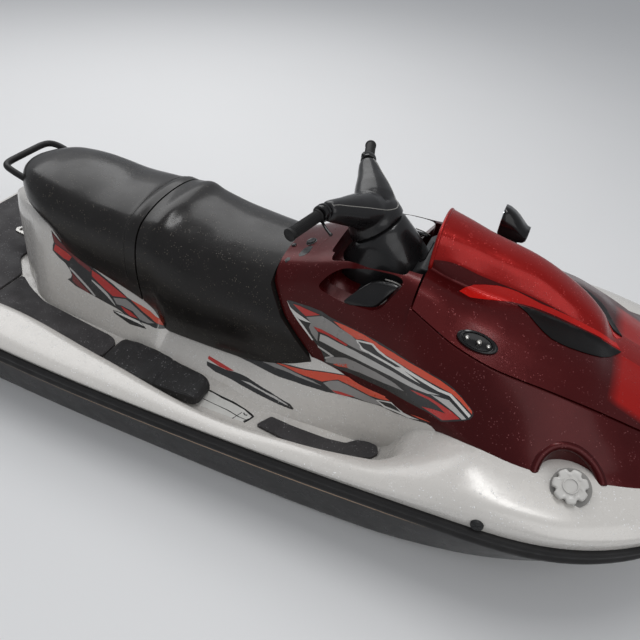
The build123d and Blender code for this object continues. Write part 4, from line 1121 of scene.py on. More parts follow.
def armMesh(side):
    along = Vector((-0.079, side * 0.146, 0.026)).normalized()
    wide = along.cross(Vector((0, 0, 1))).normalized()
    tall = wide.cross(along)
    rings = []
    for centre, half, rise in armSections:
        rings.append([sided(centre, side) + wide * half * math.cos(a)
                      + tall * rise * math.sin(a) * (1.0 if math.sin(a) > 0 else 1.15) for a in circle(28)])
    return loftMesh(rings, "arm")


def coverMesh(v):
    skirt = v["skirt"]
    bell = turned([(0.0, -0.075), (skirt, -0.075), (skirt, -0.02), (skirt * 0.985, 0.01), (skirt * 0.9, 0.034),
                   (skirt * 0.72, 0.052), (skirt * 0.4, 0.062), (0.0, 0.064)], behindAxis(0), behindAxis(1), 48)
    body = softened(joined([bell, armMesh(-1), armMesh(1)]), 0.0045, 7)
    tilt = Matrix.Rotation(math.radians(-v["skirtTilt"]), 4, "Y")
    place = onAxis(-0.012)
    slab = boxMesh(-300, 300, -300, 300, -400, 0)
    slab.transform(Matrix.Translation(place) @ tilt)
    wide = v["bore"]
    bore = turned([(0.0, -0.09), (wide, -0.09), (wide, 0.0), (wide * 0.95, 0.028), (wide * 0.84, 0.036),
                   (0.0, 0.036)], behindAxis(0), behindAxis(1), 56)
    return carved(body, [slab, bore])


steeringCover = keep(coverMesh(steeringValues), "steeringCover", "steering", "blackSatin", 40)
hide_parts("steering_cover")
coverTree = skinTree(steeringCover)
lipRoute = [(0.160, 0.164, 0.836), (0.206, 0.115, 0.822), (0.250, 0.070, 0.808), (0.296, 0.030, 0.800),
            (0.308, 0.0, 0.798)]
lipRoute = [(x, -y, z) for x, y, z in lipRoute] + lipRoute[-2::-1]
lipLine = []
for p in nurbsPath(lipRoute, 10):
    near, normal = coverTree.find_nearest(p)[:2]
    lipLine.append(near + normal * 0.0002)
coverTrim = keep(tubeMesh(lipLine, 0.0013, 8), "coverTrim", "steering", "trimGrey")


def gripProfile(length, v):
    rows = [(0.0, 0.0), (0.0165, 0.0), (0.0185, 0.002), (0.0185, 0.007), (0.0158, 0.009)]
    core, ridge = v["gripCore"], v["gripCore"] + v["ribDepth"]
    pitch = (length - v["gripEnd"] - v["gripEnd"]) / v["gripRibs"]
    for k in range(v["gripRibs"]):
        at = v["gripEnd"] + pitch * k
        rows += [(core, at), (ridge, at + pitch * 0.25), (ridge, at + pitch * 0.6), (core, at + pitch * 0.8)]
    return rows + [(0.0158, length - 0.010), (0.0186, length - 0.008), (0.0188, length - 0.002), (0.0165, length),
                   (0.0, length)]


gripStart, gripStop = (0.138, 0.205, 0.824), (0.103, 0.327, 0.813)
gripRows = gripProfile((Vector(gripStop) - Vector(gripStart)).length, steeringValues)
gripPair = keep(turnedPair(gripRows, gripStart, gripStop, 28), "gripPair", "steering", "gripRubber", 50)
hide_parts("grips")
collarProfile = [(0.0, 0), (0.021, 0.0), (0.0245, 0.06), (0.0252, 0.3), (0.0225, 0.36), (0.0225, 0.6),
                 (0.0252, 0.66), (0.0245, 0.94), (0.020, 1.0), (0.0, 1.0)]
collars = turnedPair(collarProfile, (0.1445, 0.178, 0.8245), (0.138, 0.203, 0.824), 36, True)
collarPair = keep(collars, "barCollars", "steering", "blackGloss", 35)
leverPath = nurbsPath([(0.128, -0.190, 0.806), (0.140, -0.200, 0.810), (0.158, -0.222, 0.813), (0.176, -0.246, 0.813),
                       (0.196, -0.262, 0.812)], 8)
leverEnd, leverAhead = leverPath[-1], (leverPath[-1] - leverPath[-2]).normalized()
lever = joined([tubeMesh(leverPath, 0.0042, 12),
                turned([(0.0, -0.004), (0.005, -0.002), (0.0055, 0.002), (0.003, 0.005), (0.0, 0.006)],
                       leverEnd, leverEnd + leverAhead, 16),
                turned([(0.0, 0), (0.008, 0.002), (0.008, 0.02), (0.0, 0.022)],
                       (0.126, -0.188, 0.796), (0.126, -0.188, 0.9), 20)])
throttle = keep(lever, "throttleLever", "steering", "blackGloss", 40)
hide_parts("throttle_lever")
boxBody = subdivided(boxMesh(117, 151, 181, 205, 806, 845), 0, 0.004, 3)
buttons = [turned([(0.0, 0), (0.0045, 0.0), (0.0045, 0.002), (0.0035, 0.003), (0.0, 0.003)],
                  (x, 0.193, 0.8445), (x, 0.193, 0.9), 20) for x in (0.128, 0.141)]
switchBox = keep(boxBody, "switchBox", "steering", "blackPlastic", 40)
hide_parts("switch_box")
switchButtons = keep(joined(buttons), "switchButtons", "steering", "blackGloss", 40)
print("steering made")


# grab handle: one bent tube round the back of the seat
handleValues = {"radius": 0.0118, "bossFoot": (-0.988, 0.1195, 0.5555), "bossAim": (-1.035, 0.122, 0.573)}
handleRoute = [(-1.000, 0.120, 0.560), (-1.035, 0.122, 0.572), (-1.075, 0.122, 0.584), (-1.106, 0.112, 0.588),
               (-1.117, 0.085, 0.588), (-1.117, 0.04, 0.588)]
handleRoute += [(x, -y, z) for x, y, z in reversed(handleRoute)]
grabHandle = keep(tubeMesh(nurbsPath(handleRoute, 8), handleValues["radius"], 18), "grabHandle", "rear_seat",
                  "gripRubber", 50)
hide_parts("grab_handle")
bosses = turnedPair([(0.0, 0), (0.019, 0.0), (0.019, 0.006), (0.014, 0.010), (0.0, 0.010)],
                    handleValues["bossFoot"], handleValues["bossAim"], 24)
handleBosses = keep(bosses, "handleBosses", "rear_seat", "blackPlastic", 40)
print("grab handle made")


# fuel filler and its seven-lobed cap
capValues = {"base": (0.9745, -0.458, 0.424), "axis": (-0.1, -0.5, 0.86), "ahead": (1, 0, 0.1163), "rise": 0.0105,
             "sides": 112, "lobes": 7, "radius": 0.0435, "dip": 0.0078, "notchFrom": 0.2, "notchSpan": 0.7,
             # share of the radius, height
             "profile": [(0.0, 0), (0.86, 0), (0.97, 0.0012), (1.0, 0.004), (1.0, 0.0145), (0.985, 0.0178),
                         (0.94, 0.0198), (0.88, 0.0205), (0.70, 0.0205), (0.62, 0.0188), (0.5, 0.0182),
                         (0.47, 0.0182), (0.455, 0.0205), (0.44, 0.0222), (0.40, 0.0222), (0.385, 0.0205),
                         (0.375, 0.0182), (0.2, 0.0180), (0.0, 0.0180)]}


def capMesh(v):
    lift = Vector(v["axis"]).normalized()
    base = Vector(v["base"]) + lift * v["rise"]
    side = Vector(v["ahead"]).normalized()
    side = (side - lift * side.dot(lift)).normalized()
    other = lift.cross(side)
    rings = []
    for reach, height in v["profile"]:
        full = 1.0 if reach > 0.8 else max(0.0, (reach - 0.5) / 0.3)  # the notches fade over the top face
        ring = []
        for a in circle(v["sides"]):
            notch = min(1.0, max(0.0, (math.cos(v["lobes"] * a) - v["notchFrom"]) / v["notchSpan"]))
            radius = max(v["radius"] * reach - v["dip"] * notch * full, 1e-5)
            ring.append(base + side * radius * math.cos(a) + other * radius * math.sin(a) + lift * height)
        rings.append(ring)
    return loftMesh(rings, "cap")


fuelCap = keep(capMesh(capValues), "fuelCap", "hull", "capGrey", 55)
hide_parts("fuel_cap")
print("fuel cap made")


# hood: bright lens strips, black inserts, rolled rear lip
lensOutline = [(553, 380), (566, 401), (585, 414), (614, 423), (646, 430), (676, 432), (705, 431), (741, 426),
               (773, 421), (808, 419), (843, 416), (879, 412), (914, 409), (946, 407), (977, 403), (1012, 401),
               (1026, 385), (1007, 388), (974, 392), (938, 395), (900, 397), (864, 400), (823, 404), (791, 406),
               (757, 407), (726, 405), (696, 402), (659, 392), (619, 381), (587, 373)]
insertOutline = [(716, 399), (758, 402), (792, 401), (824, 399), (866, 395), (902, 393), (939, 390), (975, 386),
                 (1007, 381), (1029, 377), (1019, 366), (999, 349), (971, 335), (944, 330), (914, 327), (880, 326),
                 (852, 328), (826, 333), (801, 345), (777, 361), (746, 384)]
lipValues = {"from": 454.0, "x": 0.4545, "drop": 3.0, "bead": 0.0062}
hoodTree = skinTree(hoodSkin)
lensValues = {"grid": 9.0, "lift": 0.8, "layer": 0.4, "sunk": 1.5}
insertValues = {"grid": 9.0, "lift": 3.0, "layer": 0.0, "sunk": 1.5}
lenses = keep(twin(filmMesh(lensOutline, hoodTree, 0, lensValues, 45)), "lensStrips", "hood", "lensRed", 60)
inserts = keep(twin(subdivided(filmMesh(insertOutline, hoodTree, 0, insertValues, 45), 0, 0.0016, 3)),
               "hoodInserts", "hood", "insertBlack", 30)
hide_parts("hood_inserts")
rearEdge = halvesOf(hoodTable, [lipValues["from"]])[0]
lipHalf = [(y * milli, (z - lipValues["drop"]) * milli) for y, z in rearEdge[2:]]
lipPoints = [(lipValues["x"], -y, z) for y, z in lipHalf] + [(lipValues["x"], y, z) for y, z in lipHalf[-2::-1]]
lip = keep(tubeMesh(nurbsPath(lipPoints, 10, order=3), lipValues["bead"], 14), "hoodLip", "hood", "hoodRed", 0)


# mirror seats: port with its mirror, starboard broken off with the stubs left
padValues = {"place": (0.645, 0.258, 0.618), "normal": (0.1, 0.62, 0.78), "ahead": (1, 0, -0.13),
             "long": 0.058, "short": 0.027,
             # share of the size, height: whole and broken
             "whole": [(0.0, -0.005), (1.0, -0.005), (1.0, 0.010), (0.95, 0.0138), (0.85, 0.0155), (0.0, 0.0158)],
             "broken": [(0.0, -0.005), (1.0, -0.005), (1.0, 0.004), (0.94, 0.0075), (0.84, 0.0085), (0.76, 0.0065),
                        (0.7, 0.002), (0.3, 0.0005), (0.0, 0.0005)]}


def ovalPad(v, side, profile):
    normal = sided(v["normal"], side).normalized()
    ahead = Vector(v["ahead"]).normalized()
    ahead = (ahead - normal * ahead.dot(normal)).normalized()
    across = normal.cross(ahead)
    rings = []
    for reach, height in v[profile]:
        rings.append([sided(v["place"], side) + ahead * max(v["long"] * reach, 1e-5) * math.cos(a)
                      + across * max(v["short"] * reach, 1e-5) * math.sin(a) + normal * height for a in circle(44)])
    return loftMesh(rings, "pad")


portPad, brokenPad = ovalPad(padValues, 1, "whole"), ovalPad(padValues, -1, "broken")
mirrorSeats = keep(joined([portPad, brokenPad]), "mirrorSeats", "hood", "blackGloss", 40)
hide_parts("mirror_mounts")
stubs = []
brokenNormal = sided(padValues["normal"], -1).normalized()
for shift, radius, height in ((-0.030, 0.0075, 0.010), (0.004, 0.009, 0.013), (0.031, 0.0065, 0.008)):
    foot = sided(padValues["place"], -1) + Vector(padValues["ahead"]) * shift
    stubs.append(turned([(0.0, 0), (radius, 0), (radius * 0.96, height * 0.7), (radius * 0.7, height),
                         (radius * 0.45, height * 0.8), (0.0, height * 0.7)], foot, foot + brokenNormal, 9))
brokenStubs = keep(joined(stubs), "brokenStubs", "hood", "stainless", 30)

backOutline = [(238, 652), (300, 644), (368, 664), (376, 692), (332, 738), (266, 756), (240, 722)]
frontOutline = [(256, 648), (300, 642), (344, 656), (348, 670), (320, 684), (276, 690), (256, 678)]
# x, share of the front outline, size
mirrorRows = [(592, 0.0, 0.9), (592, 0.0, 0.985), (595, 0.0, 1.0), (608, 0.05, 1.0), (626, 0.2, 1.0),
              (644, 0.42, 1.0), (662, 0.72, 1.0), (676, 0.94, 0.98), (684, 1.0, 0.86), (687, 1.0, 0.6)]


def mirrorShell():
    back, front = np.array(easedOutline(backOutline, 20)), np.array(easedOutline(frontOutline, 16))
    middle = back.mean(axis=0)
    rings = []
    for x, mix, grow in mirrorRows:
        loop = (back * (1 - mix) + front * mix - middle) * grow + middle
        rings.append([(x * milli, y * milli, z * milli) for y, z in loop])
    foot = turned([(0.0, 0), (0.020, 0.001), (0.0165, 0.3), (0.0145, 0.7), (0.0155, 1.0), (0.0, 1.0)],
                  (0.645, 0.262, 0.634), (0.640, 0.272, 0.672), 28, True)
    return joined([loftMesh(rings, "mirror"), foot])


mirrorPort = keep(mirrorShell(), "mirrorShell", "hood", "blackGloss", 45)
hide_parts("mirror_port")
glassOutline = [(250, 664), (300, 657), (358, 674), (364, 690), (328, 726), (272, 742), (252, 714)]
glassLoop = np.array(easedOutline(glassOutline, 16))
glassMiddle = glassLoop.mean(axis=0)
glassRings = [[(x * milli, y * milli, z * milli) for y, z in (glassLoop - glassMiddle) * grow + glassMiddle]
              for x, grow in ((591.8, 1.0), (590.4, 1.0), (589.8, 0.97))]
mirrorGlass = keep(loftMesh(glassRings, "glass"), "mirrorPane", "hood", "mirrorGlass", 30)
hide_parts("mirror_glass")
print("hood fittings made")


# bars in the window openings, console buttons, instrument pod
ventValues = {"thick": 0.0065, "crown": 0.012, "square": 0.5, "out": (-0.12, -0.72, 0.68)}
ventEdges = [((0.238, -0.222, 0.566), (0.330, -0.214, 0.564)), ((0.254, -0.212, 0.580), (0.347, -0.203, 0.577)),
             ((0.272, -0.195, 0.598), (0.362, -0.188, 0.597)), ((0.290, -0.179, 0.615), (0.377, -0.173, 0.617)),
             ((0.306, -0.166, 0.629), (0.390, -0.160, 0.633)), ((0.318, -0.154, 0.640), (0.400, -0.148, 0.646))]


def ventMesh(v):  # broad glossy blade that leans across the opening
    out = Vector(v["out"])
    rings = []
    for k, (a, b) in enumerate(ventEdges):
        a, b = Vector(a), Vector(b)
        wide = (b - a) * 0.5
        middle = (a + b) * 0.5 + out * v["crown"] * math.sin(math.pi * k / (len(ventEdges) - 1))
        rings.append([middle + wide * squared(math.cos(t), v["square"]) + out * v["thick"] * squared(math.sin(t), 0.8)
                      for t in circle(28)])
    return subdivided(loftMesh(rings, "vent"), 1)


ventPair = keep(twin(ventMesh(ventValues)), "ventPair", "hull", "blackGloss", 50)
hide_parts("vent_bars")
ventEdge = nurbsPath([(0.326, -0.222, 0.570), (0.347, -0.2075, 0.580), (0.364, -0.1945, 0.602),
                      (0.379, -0.1805, 0.6225), (0.392, -0.1665, 0.637), (0.397, -0.156, 0.645),
                      (0.372, -0.157, 0.652), (0.344, -0.160, 0.652)], 8)
ventTrim = keep(twin(tubeMesh(ventEdge, 0.0022, 10)), "ventTrim", "hull", "trimGrey", 0)
cowlTree = skinTree(cowlSkin)


def onCowl(x, y):
    return cowlTree.ray_cast(Vector((x, y, 1.2)), Vector((0, 0, -1)))[:2]


knobs = []
for x, y, radius, height in ((0.062, -0.040, 0.0165, 0.0065), (0.008, -0.052, 0.0078, 0.0045)):
    foot, normal = onCowl(x, y)
    knobs.append(turned([(0.0, -0.006), (radius * 1.12, -0.006), (radius * 1.12, 0.0012), (radius, 0.002),
                         (radius * 0.97, height * 0.8), (radius * 0.85, height), (radius * 0.4, height * 0.85),
                         (0.0, height * 0.85)], foot, foot + normal, 32))
knobPair = keep(joined(knobs), "consoleButtons", "hull", "blackGloss", 35)
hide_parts("console_knobs")
podOutline = [(392, 612), (462, 612), (462, 690), (430, 690), (408, 672)]
podBody = subdivided(prism(podOutline, -108, 108), 0, 0.006, 3)
pod = keep(podBody, "instrumentPod", "hull", "blackPlastic", 35)
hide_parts("instrument_pod")
print("console made")


# mats: grooved foam pads glued to the footwell floors
matValues = {"thick": 0.0105, "grid": 24.0, "edge": 0.0035, "lift": 0.0006}
deckTree = skinTree(deckSkin)


def matMesh(outline, v, reach=18):
    points, faces = gridded(easedOutline(outline, reach, 6), v["grid"], 5)
    level = [readTable(deckLines, p.x)[0][8] * milli + v["lift"] for p in points]
    low = [(p.x * milli, p.y * milli, z) for p, z in zip(points, level)]
    top = [(x, y, z + v["thick"]) for x, y, z in low]
    return subdivided(sandwich(top, low, [tuple(face) for face in faces], "mat"), 0, v["edge"], 3)


rearMat = [(-1078, -182), (-1000, -228), (-900, -270), (-620, -304), (-572, -308), (-538, -322), (-528, -346),
           (-530, -408), (-570, -424), (-620, -418), (-900, -392), (-1078, -388)]
midMat = [(-480, -318), (-440, -320), (-100, -357), (60, -382), (60, -446), (-100, -446), (-440, -436), (-478, -430)]
foreMat = [(80, -430), (108, -378), (188, -383), (305, -381), (366, -374), (392, -350), (432, -344), (462, -352),
           (474, -380), (458, -402), (330, -436), (200, -444)]
sideMats = keep(joined(bothSides(matMesh(rearMat, {**matValues, "thick": 0.016, "edge": 0.0065}, 26))
                       + bothSides(matMesh(foreMat, matValues, 9)) + [mirroredMesh(matMesh(midMat, matValues))]),
                "sideMats", "hull", "matGrey", 35)
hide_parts("mats_side")
platformMat = [(-1535, -422), (-1250, -397), (-1150, -388), (-1096, -388), (-1096, -170), (-1122, -146), (-1180, -90),
               (-1180, 90), (-1122, 146), (-1096, 170), (-1096, 388), (-1150, 388), (-1250, 397), (-1535, 422)]
sternMat = keep(matMesh(platformMat, matValues), "sternMat", "hull", "matGrey", 35)
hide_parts("mat_platform")


# the starboard middle mat, peeled up and folded back on itself: two soft layers with a rolled front edge
foldValues = {"inner": [(-512, 322), (-492, 314), (-400, 312), (-250, 336), (-170, 350), (-140, 357), (-122, 372)],
              "outer": [(-512, 424), (-492, 440), (-400, 452), (-250, 461), (-170, 461), (-140, 456), (-122, 442)],
              "top": [(-512, 172), (-492, 184), (-420, 188), (-300, 190), (-220, 196), (-160, 199), (-136, 193),
                      (-122, 178)],
              "step": 5, "floor": 149.0, "seam": (-292, 5.0, 7.0), "dart": (-236, -0.25, 0.09, 4.0), "slit": 1.6}


def foldMesh(v):
    xs = denseFrom([-512, -492, -400, -300, -200, -150, -136, -122], v["step"])
    inner, outer, top = (readTable(v[key], xs)[:, 0] for key in ("inner", "outer", "top"))
    seamAt, seamWidth, seamDeep = v["seam"]  # sewn dart across the pad
    dartEnd, dartAt, dartWidth, dartDeep = v["dart"]  # second dart, forward of the first
    rings = []
    for x, a, b, t in zip(xs, inner, outer, top):
        base = v["floor"] + max(0.0, (x + 135) * 0.6)
        seam = seamDeep * math.exp(-((x - seamAt) / seamWidth) ** 2)
        along = 1 / (1 + math.exp((seamAt - x) / 3)) / (1 + math.exp((x - dartEnd) / 5))
        ring = []
        for angle in circle(72):
            across, rise = squared(math.cos(angle), 0.34), squared(math.sin(angle), 0.42)
            upper = math.sin(angle) > 0
            crown = (1 - 0.4 * across * across) if upper else 1.0
            dart = dartDeep * along * math.exp(-((across - dartAt) / dartWidth) ** 2) if upper else 0.0
            sag = 1.6 * math.sin(x / 21 + 2.6 * across) + 1.1 * math.sin(x / 11 - 4 * across)
            height = (t - seam - dart + sag - base) * (0.5 + 0.5 * rise * (0.72 + 0.28 * crown))
            slit = v["slit"] * math.exp(-((height - (t - base) * 0.42) / 2.6) ** 2)  # line where the two layers meet
            y = (a + b) / 2 + ((b - a) / 2 - slit) * across
            ring.append((x * milli, -y * milli, (base + height) * milli))
        rings.append(ring)
    return loftMesh(rings, "fold")


foldedMat = keep(subdivided(foldMesh(foldValues), 1), "foldedMat", "hull", "matVinyl", 50)
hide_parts("mat_mid_folded")


# what the peeled mat left on the floor: glue lines and a clean patch
residueValues = {"grid": 12.0, "lift": 0.5, "layer": 0.25, "sunk": 0.6}


def residueLine(points, width):
    points = np.array(points, float)
    left, right = [], []
    for i, p in enumerate(points):
        a, b = points[max(i - 1, 0)], points[min(i + 1, len(points) - 1)]
        d = (b - a) / np.linalg.norm(b - a)
        n = np.array([-d[1], d[0]])
        w = width * (0.6 + 0.4 * math.sin(i * 2.1 + 1.0) ** 2) / 2
        left.append(tuple(map(float, p + n * w)))
        right.append(tuple(map(float, p - n * w)))
    return left + right[::-1]


darkLines = [residueLine([(-141, -363), (-110, -366), (-78, -371), (-35, -374), (14, -383), (42, -393), (52, -398),
                          (48, -412), (42, -421), (36, -432)], 9.0),
             residueLine([(-150, -404), (-83, -409), (-33, -412), (9, -420), (38, -421)], 3.6),
             residueLine([(-3, -436), (4, -418), (12, -399)], 3.2),
             residueLine([(18, -398), (24, -404), (33, -402)], 6.0)]
cleanPatches = [[(-150, -362), (-110, -362), (-35, -370), (45, -392), (36, -434), (-60, -436), (-150, -436)]]
residue = [filmMesh(line, deckTree, 1, residueValues, 90) for line in darkLines]
patches = [filmMesh(line, deckTree, 0, residueValues, 90) for line in cleanPatches]
for mesh in patches:
    for face in mesh.polygons:
        face.material_index = 1
glueMarks = keep(joined(residue + patches), "glueMarks", "hull", ["railRubber", "cleanPatch"], 30)
print("mats made")


# thin tan line round the hull under the rub rail, plugs in the gunwale
lineValues = {"drop": 74.0, "width": 5.0, "grid": 40.0, "lift": 0.5, "layer": 0, "sunk": 0.6}
lineX = denseFrom([-1540, -900, 0, 750, 1120, 1400], 40)
hullTree = skinTree(hullSkin)
linePoints = []
for x in lineX:
    start = Vector((x * milli, -0.8, (float(railZ(x)) - lineValues["drop"]) * milli))
    hit = hullTree.ray_cast(start, Vector((0, 1, 0)))[0]
    if hit:
        linePoints.append((x, start.z / milli))
half = lineValues["width"] / 2
hullLine = [(x, z + half) for x, z in linePoints] + [(x, z - half) for x, z in reversed(linePoints)]
pinLine = keep(twin(filmMesh(hullLine, hullTree, 0, lineValues)), "pinLine", "hull", "tanLine", 40)


def plugMesh(x, radius, up):
    y, z = float(railY(x)) - 7, float(railZ(x)) + up
    start = Vector((x * milli, -(y - 26) * milli, z * milli))
    parts = [turned([(0.0, 0), (radius, 0), (radius, 0.0262), (radius * 0.93, 0.0285), (radius * 0.8, 0.029),
                     (radius * 0.74, 0.0278), (radius * 0.3, 0.0278), (0.0, 0.0278)],
                    start, start + Vector((0, -1, 0)), 36)]
    face, deep = start + Vector((0, -0.0276, 0)), Vector((0, -0.0011, 0))
    for a in circle(5) if radius > 0.01 else []:  # spokes, on the larger plug only
        out = Vector((math.cos(a + 0.3), 0, math.sin(a + 0.3)))
        wide = Vector((-math.sin(a + 0.3), 0, math.cos(a + 0.3))) * 0.0011
        ring = [face + out * 0.002 - wide, face + out * 0.002 + wide, face + out * radius * 0.68 + wide * 1.6,
                face + out * radius * 0.68 - wide * 1.6]
        parts.append(loftMesh([ring, [p + deep for p in ring]], "spoke"))
    return joined(parts)


plugs = bothSides(plugMesh(790, 0.017, 26)) + bothSides(plugMesh(-1000, 0.008, 9))
plugSet = keep(joined(plugs), "gunwalePlugs", "hull", "blackPlastic", 35)
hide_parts("gunwale_plugs")
print("hull line and plugs made")


# rounded rim of the cowl's arch over the fuel filler
rimValues = {"middle": (971, -433), "half": 87.0, "deep": 68.0, "bead": 0.0135, "sunk": 0.0085, "least": 0.38,
             "from": -0.06, "sweep": 1.12, "rays": 46}
rimLine = []
for k in range(rimValues["rays"] + 1):
    a = math.pi * (rimValues["from"] + rimValues["sweep"] * k / rimValues["rays"])
    x = rimValues["middle"][0] - rimValues["half"] * math.cos(a)
    y = rimValues["middle"][1] + rimValues["deep"] * math.sin(a)
    hit, normal = onCowl(x * milli, y * milli)
    if hit and hit.z > rimValues["least"]:
        rimLine.append(hit - normal * rimValues["sunk"])
archRim = keep(twin(tubeMesh(nurbsPath(rimLine[::2], 4), rimValues["bead"], 12)), "archRim", "hull", "cowlMaroon", 0)
print("arch rim points", len(rimLine))


# painted shade: black pans in the floors of the window channels, standing in for the dark of the openings
shadePanOutline = [(262, -158), (300, -166), (398, -162), (398, -112), (262, -92)]
shadePanMesh = subdivided(prism(easedOutline(shadePanOutline, 14), 566.5, 571, "xy"), 0, 0.0015)
shadePans = keep(twin(shadePanMesh), "windowShadePans", "hull", "blackGloss", 35)


# sewn seam across the rear saddle: a piped cord with a row of stitches on each side
seamValues = {"Spacing": 0.0062, "Stitch Length": 0.0036, "Thread Radius": 0.00045, "cord": 0.0017, "offset": 0.0058,
              "seed": 4, "uneven": (0.85, 1.15), "middle": 0.43, "arcFrom": -14, "arc": 208, "rays": 96}


def stitchTree():
    tree = bpy.data.node_groups.new("stitchRow", "GeometryNodeTree")
    face = tree.interface
    face.new_socket("Geometry", in_out="INPUT", socket_type="NodeSocketGeometry")
    for label in ("Spacing", "Stitch Length", "Thread Radius"):
        face.new_socket(label, in_out="INPUT", socket_type="NodeSocketFloat").default_value = seamValues[label]
    face.new_socket("Thread", in_out="INPUT", socket_type="NodeSocketMaterial")
    face.new_socket("Geometry", in_out="OUTPUT", socket_type="NodeSocketGeometry")
    kinds = {"start": "NodeGroupInput", "line": "GeometryNodeMeshToCurve", "points": "GeometryNodeCurveToPoints",
             "thread": "GeometryNodeMeshCylinder", "wobble": "FunctionNodeRandomValue",
             "instance": "GeometryNodeInstanceOnPoints", "real": "GeometryNodeRealizeInstances",
             "paint": "GeometryNodeSetMaterial", "end": "NodeGroupOutput"}
    made = {key: tree.nodes.new(kind) for key, kind in kinds.items()}
    made["points"].mode = "LENGTH"
    made["wobble"].data_type = "FLOAT"
    made["wobble"].inputs[2].default_value, made["wobble"].inputs[3].default_value = seamValues["uneven"]
    made["wobble"].inputs["Seed"].default_value = seamValues["seed"]
    made["thread"].inputs["Vertices"].default_value = 6
    links = [("start", "Geometry", "line", 0), ("line", 0, "points", "Curve"),
             ("start", "Spacing", "points", "Length"), ("start", "Stitch Length", "thread", "Depth"),
             ("start", "Thread Radius", "thread", "Radius"), ("points", "Points", "instance", "Points"),
             ("points", "Rotation", "instance", "Rotation"), ("thread", "Mesh", "instance", "Instance"),
             ("wobble", 1, "instance", "Scale"), ("instance", 0, "real", 0), ("real", 0, "paint", "Geometry"),
             ("start", "Thread", "paint", "Material"), ("paint", 0, "end", "Geometry")]
    for a, out, b, into in links:
        tree.links.new(made[a].outputs[out], made[b].inputs[into])
    return tree


sewing = stitchTree()


def stitched(points, material):  # the row as a plain mesh
    mesh = bpy.data.meshes.new("row")
    mesh.from_pydata([tuple(p) for p in points], [(i, i + 1) for i in range(len(points) - 1)], [])
    helper = bpy.data.objects.new("row", mesh)
    scene.collection.objects.link(helper)
    modifier = helper.modifiers.new("stitches", "NODES")
    modifier.node_group = sewing
    for item in sewing.interface.items_tree:
        if item.in_out == "INPUT" and item.name == "Thread":
            modifier[item.identifier] = material
    out = settled(helper)
    bpy.data.objects.remove(helper)
    out.materials.clear()
    return out


def seamAcross(skin, place, name, body):  # a seam over the pad at one x, found by rays towards its middle
    tree = skinTree(skin)
    lines = {0: [], -1: [], 1: []}
    for k in range(seamValues["rays"] + 1):
        angle = math.radians(seamValues["arcFrom"] + seamValues["arc"] * k / seamValues["rays"])
        out = Vector((0, math.cos(angle), math.sin(angle)))
        for side in lines:
            middle = Vector((place + seamValues["offset"] * side, 0, seamValues["middle"]))
            hit, normal = tree.ray_cast(middle + out * 0.6, -out)[:2]
            if hit:
                lines[side].append(hit + normal * (0.0002 if side else -0.0004))
    cord = keep(tubeMesh(lines[0], seamValues["cord"], 8), name + "Cord", body, "seatVinyl", 0)
    row = keep(joined([stitched(lines[side], finishes["thread"]) for side in (-1, 1)]), name + "Stitches", body,
               "thread", 30)


seamAcross(seatRear, -0.533, "rearSeam", "rear_seat")
print("seams sewn")


# painted shade: a black film for the shade of a small recess on the console, and a dark mark
consoleFilmValues = {"grid": 6.0, "lift": 0.4, "layer": 0.3, "sunk": 0.6}
recessShadeAndMark = []
for outline in ([(46, -104), (53, -76), (66, -62), (79, -70), (80, -98), (68, -112), (54, -114)],
                [(8, -122), (14, -112), (24, -114), (26, -124), (17, -132)]):
    recessShadeAndMark.append(filmMesh(outline, cowlTree, 0, consoleFilmValues, 90.0))
consoleShadeAndMark = keep(joined(recessShadeAndMark), "consoleShadeAndMark", "hull", "blackGloss", 30)
grooveLine = []
for x, y in [(26, -150), (38, -166), (62, -168), (88, -156), (98, -126), (96, -92), (100, -60), (112, -30)]:
    hit, normal = onCowl(x * milli, y * milli)
    if hit:
        grooveLine.append(hit - normal * 0.0004)
groove = keep(twin(tubeMesh(nurbsPath(grooveLine, 8), 0.0014, 8)), "consoleGroove", "hull", "cowlMaroon", 0)
print("console marks made")


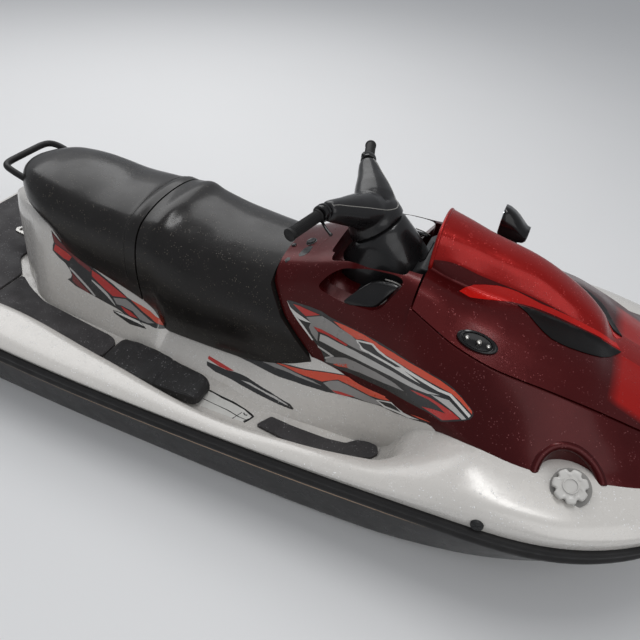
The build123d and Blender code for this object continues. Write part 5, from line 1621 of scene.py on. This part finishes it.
# studio: plain pale floor at the waterline and soft lamps
studioValues = {"floorTone": (0.8, 0.8, 0.8), "worldLevel": 0.4, "worldTone": (0.92, 0.95, 1.0),
                "lamps": [((-2.6, 2.4, 3.6), (0.0, 0.0, 0.4), (4.6, 3.0), 95),  # place, aim, size, power
                          ((2.6, -2.6, 3.0), (0.3, 0.0, 0.3), (3.2, 3.2), 40),
                          ((0.4, 0.3, 4.2), (0.0, 0.0, 0.0), (2.6, 0.5), 40)]}


def makeStudio(v):
    floor = bpy.data.objects.new("studioFloor", meshFrom([(-40, -40, 0), (40, -40, 0), (40, 40, 0), (-40, 40, 0)],
                                                         [(0, 1, 2, 3)], "floor", False))
    scene.collection.objects.link(floor)
    f = Finish("paleFloor")
    f.set(Base_Color=f.blend(f.noise(1.2, 2), v["floorTone"], tuple(c * 0.97 for c in v["floorTone"])), Roughness=0.7)
    floor.data.materials.append(f.material)
    world = bpy.data.worlds.new("softWorld")
    scene.world = world
    world.use_nodes = True
    back = world.node_tree.nodes["Background"]
    back.inputs["Color"].default_value = (*v["worldTone"], 1)
    back.inputs["Strength"].default_value = v["worldLevel"]
    for i, (place, aim, size, power) in enumerate(v["lamps"]):
        data = bpy.data.lights.new("softLamp%d" % i, "AREA")
        data.shape, data.size, data.size_y, data.energy = "RECTANGLE", size[0], size[1], power
        lamp = bpy.data.objects.new(data.name, data)
        scene.collection.objects.link(lamp)
        lamp.location = place
        lamp.rotation_euler = (Vector(aim) - Vector(place)).to_track_quat("-Z", "Y").to_euler()


makeStudio(studioValues)


# finishes for the solids that show as they are
nodesByFinish = {
    "blackGloss": ["instrument_display"],
    "engineBlack": ["engine_block"],
    "blackPlastic": ["bow_tub", "transom_fittings", "sponsons", "handlebar"],
    "fillerGrey": ["fuel_filler"],
    "stainless": ["bow_eye", "stern_eyes", "tow_eye", "hood_hinge_base", "impeller", "drive_shaft", "hood_hinge_leaf"],
    "castAluminium": ["intake_grate", "ride_plate", "pump_housing", "pump_stator", "pump_nozzle", "bucket_brackets",
                      "steering_nozzle", "reverse_bucket"],
    "railRubber": ["rubber_buffers"],
}
for finish, nodes in nodesByFinish.items():
    for node in nodes:
        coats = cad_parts[node].data.materials
        coats.clear()
        coats.append(finishes[finish])

print("scene ready")
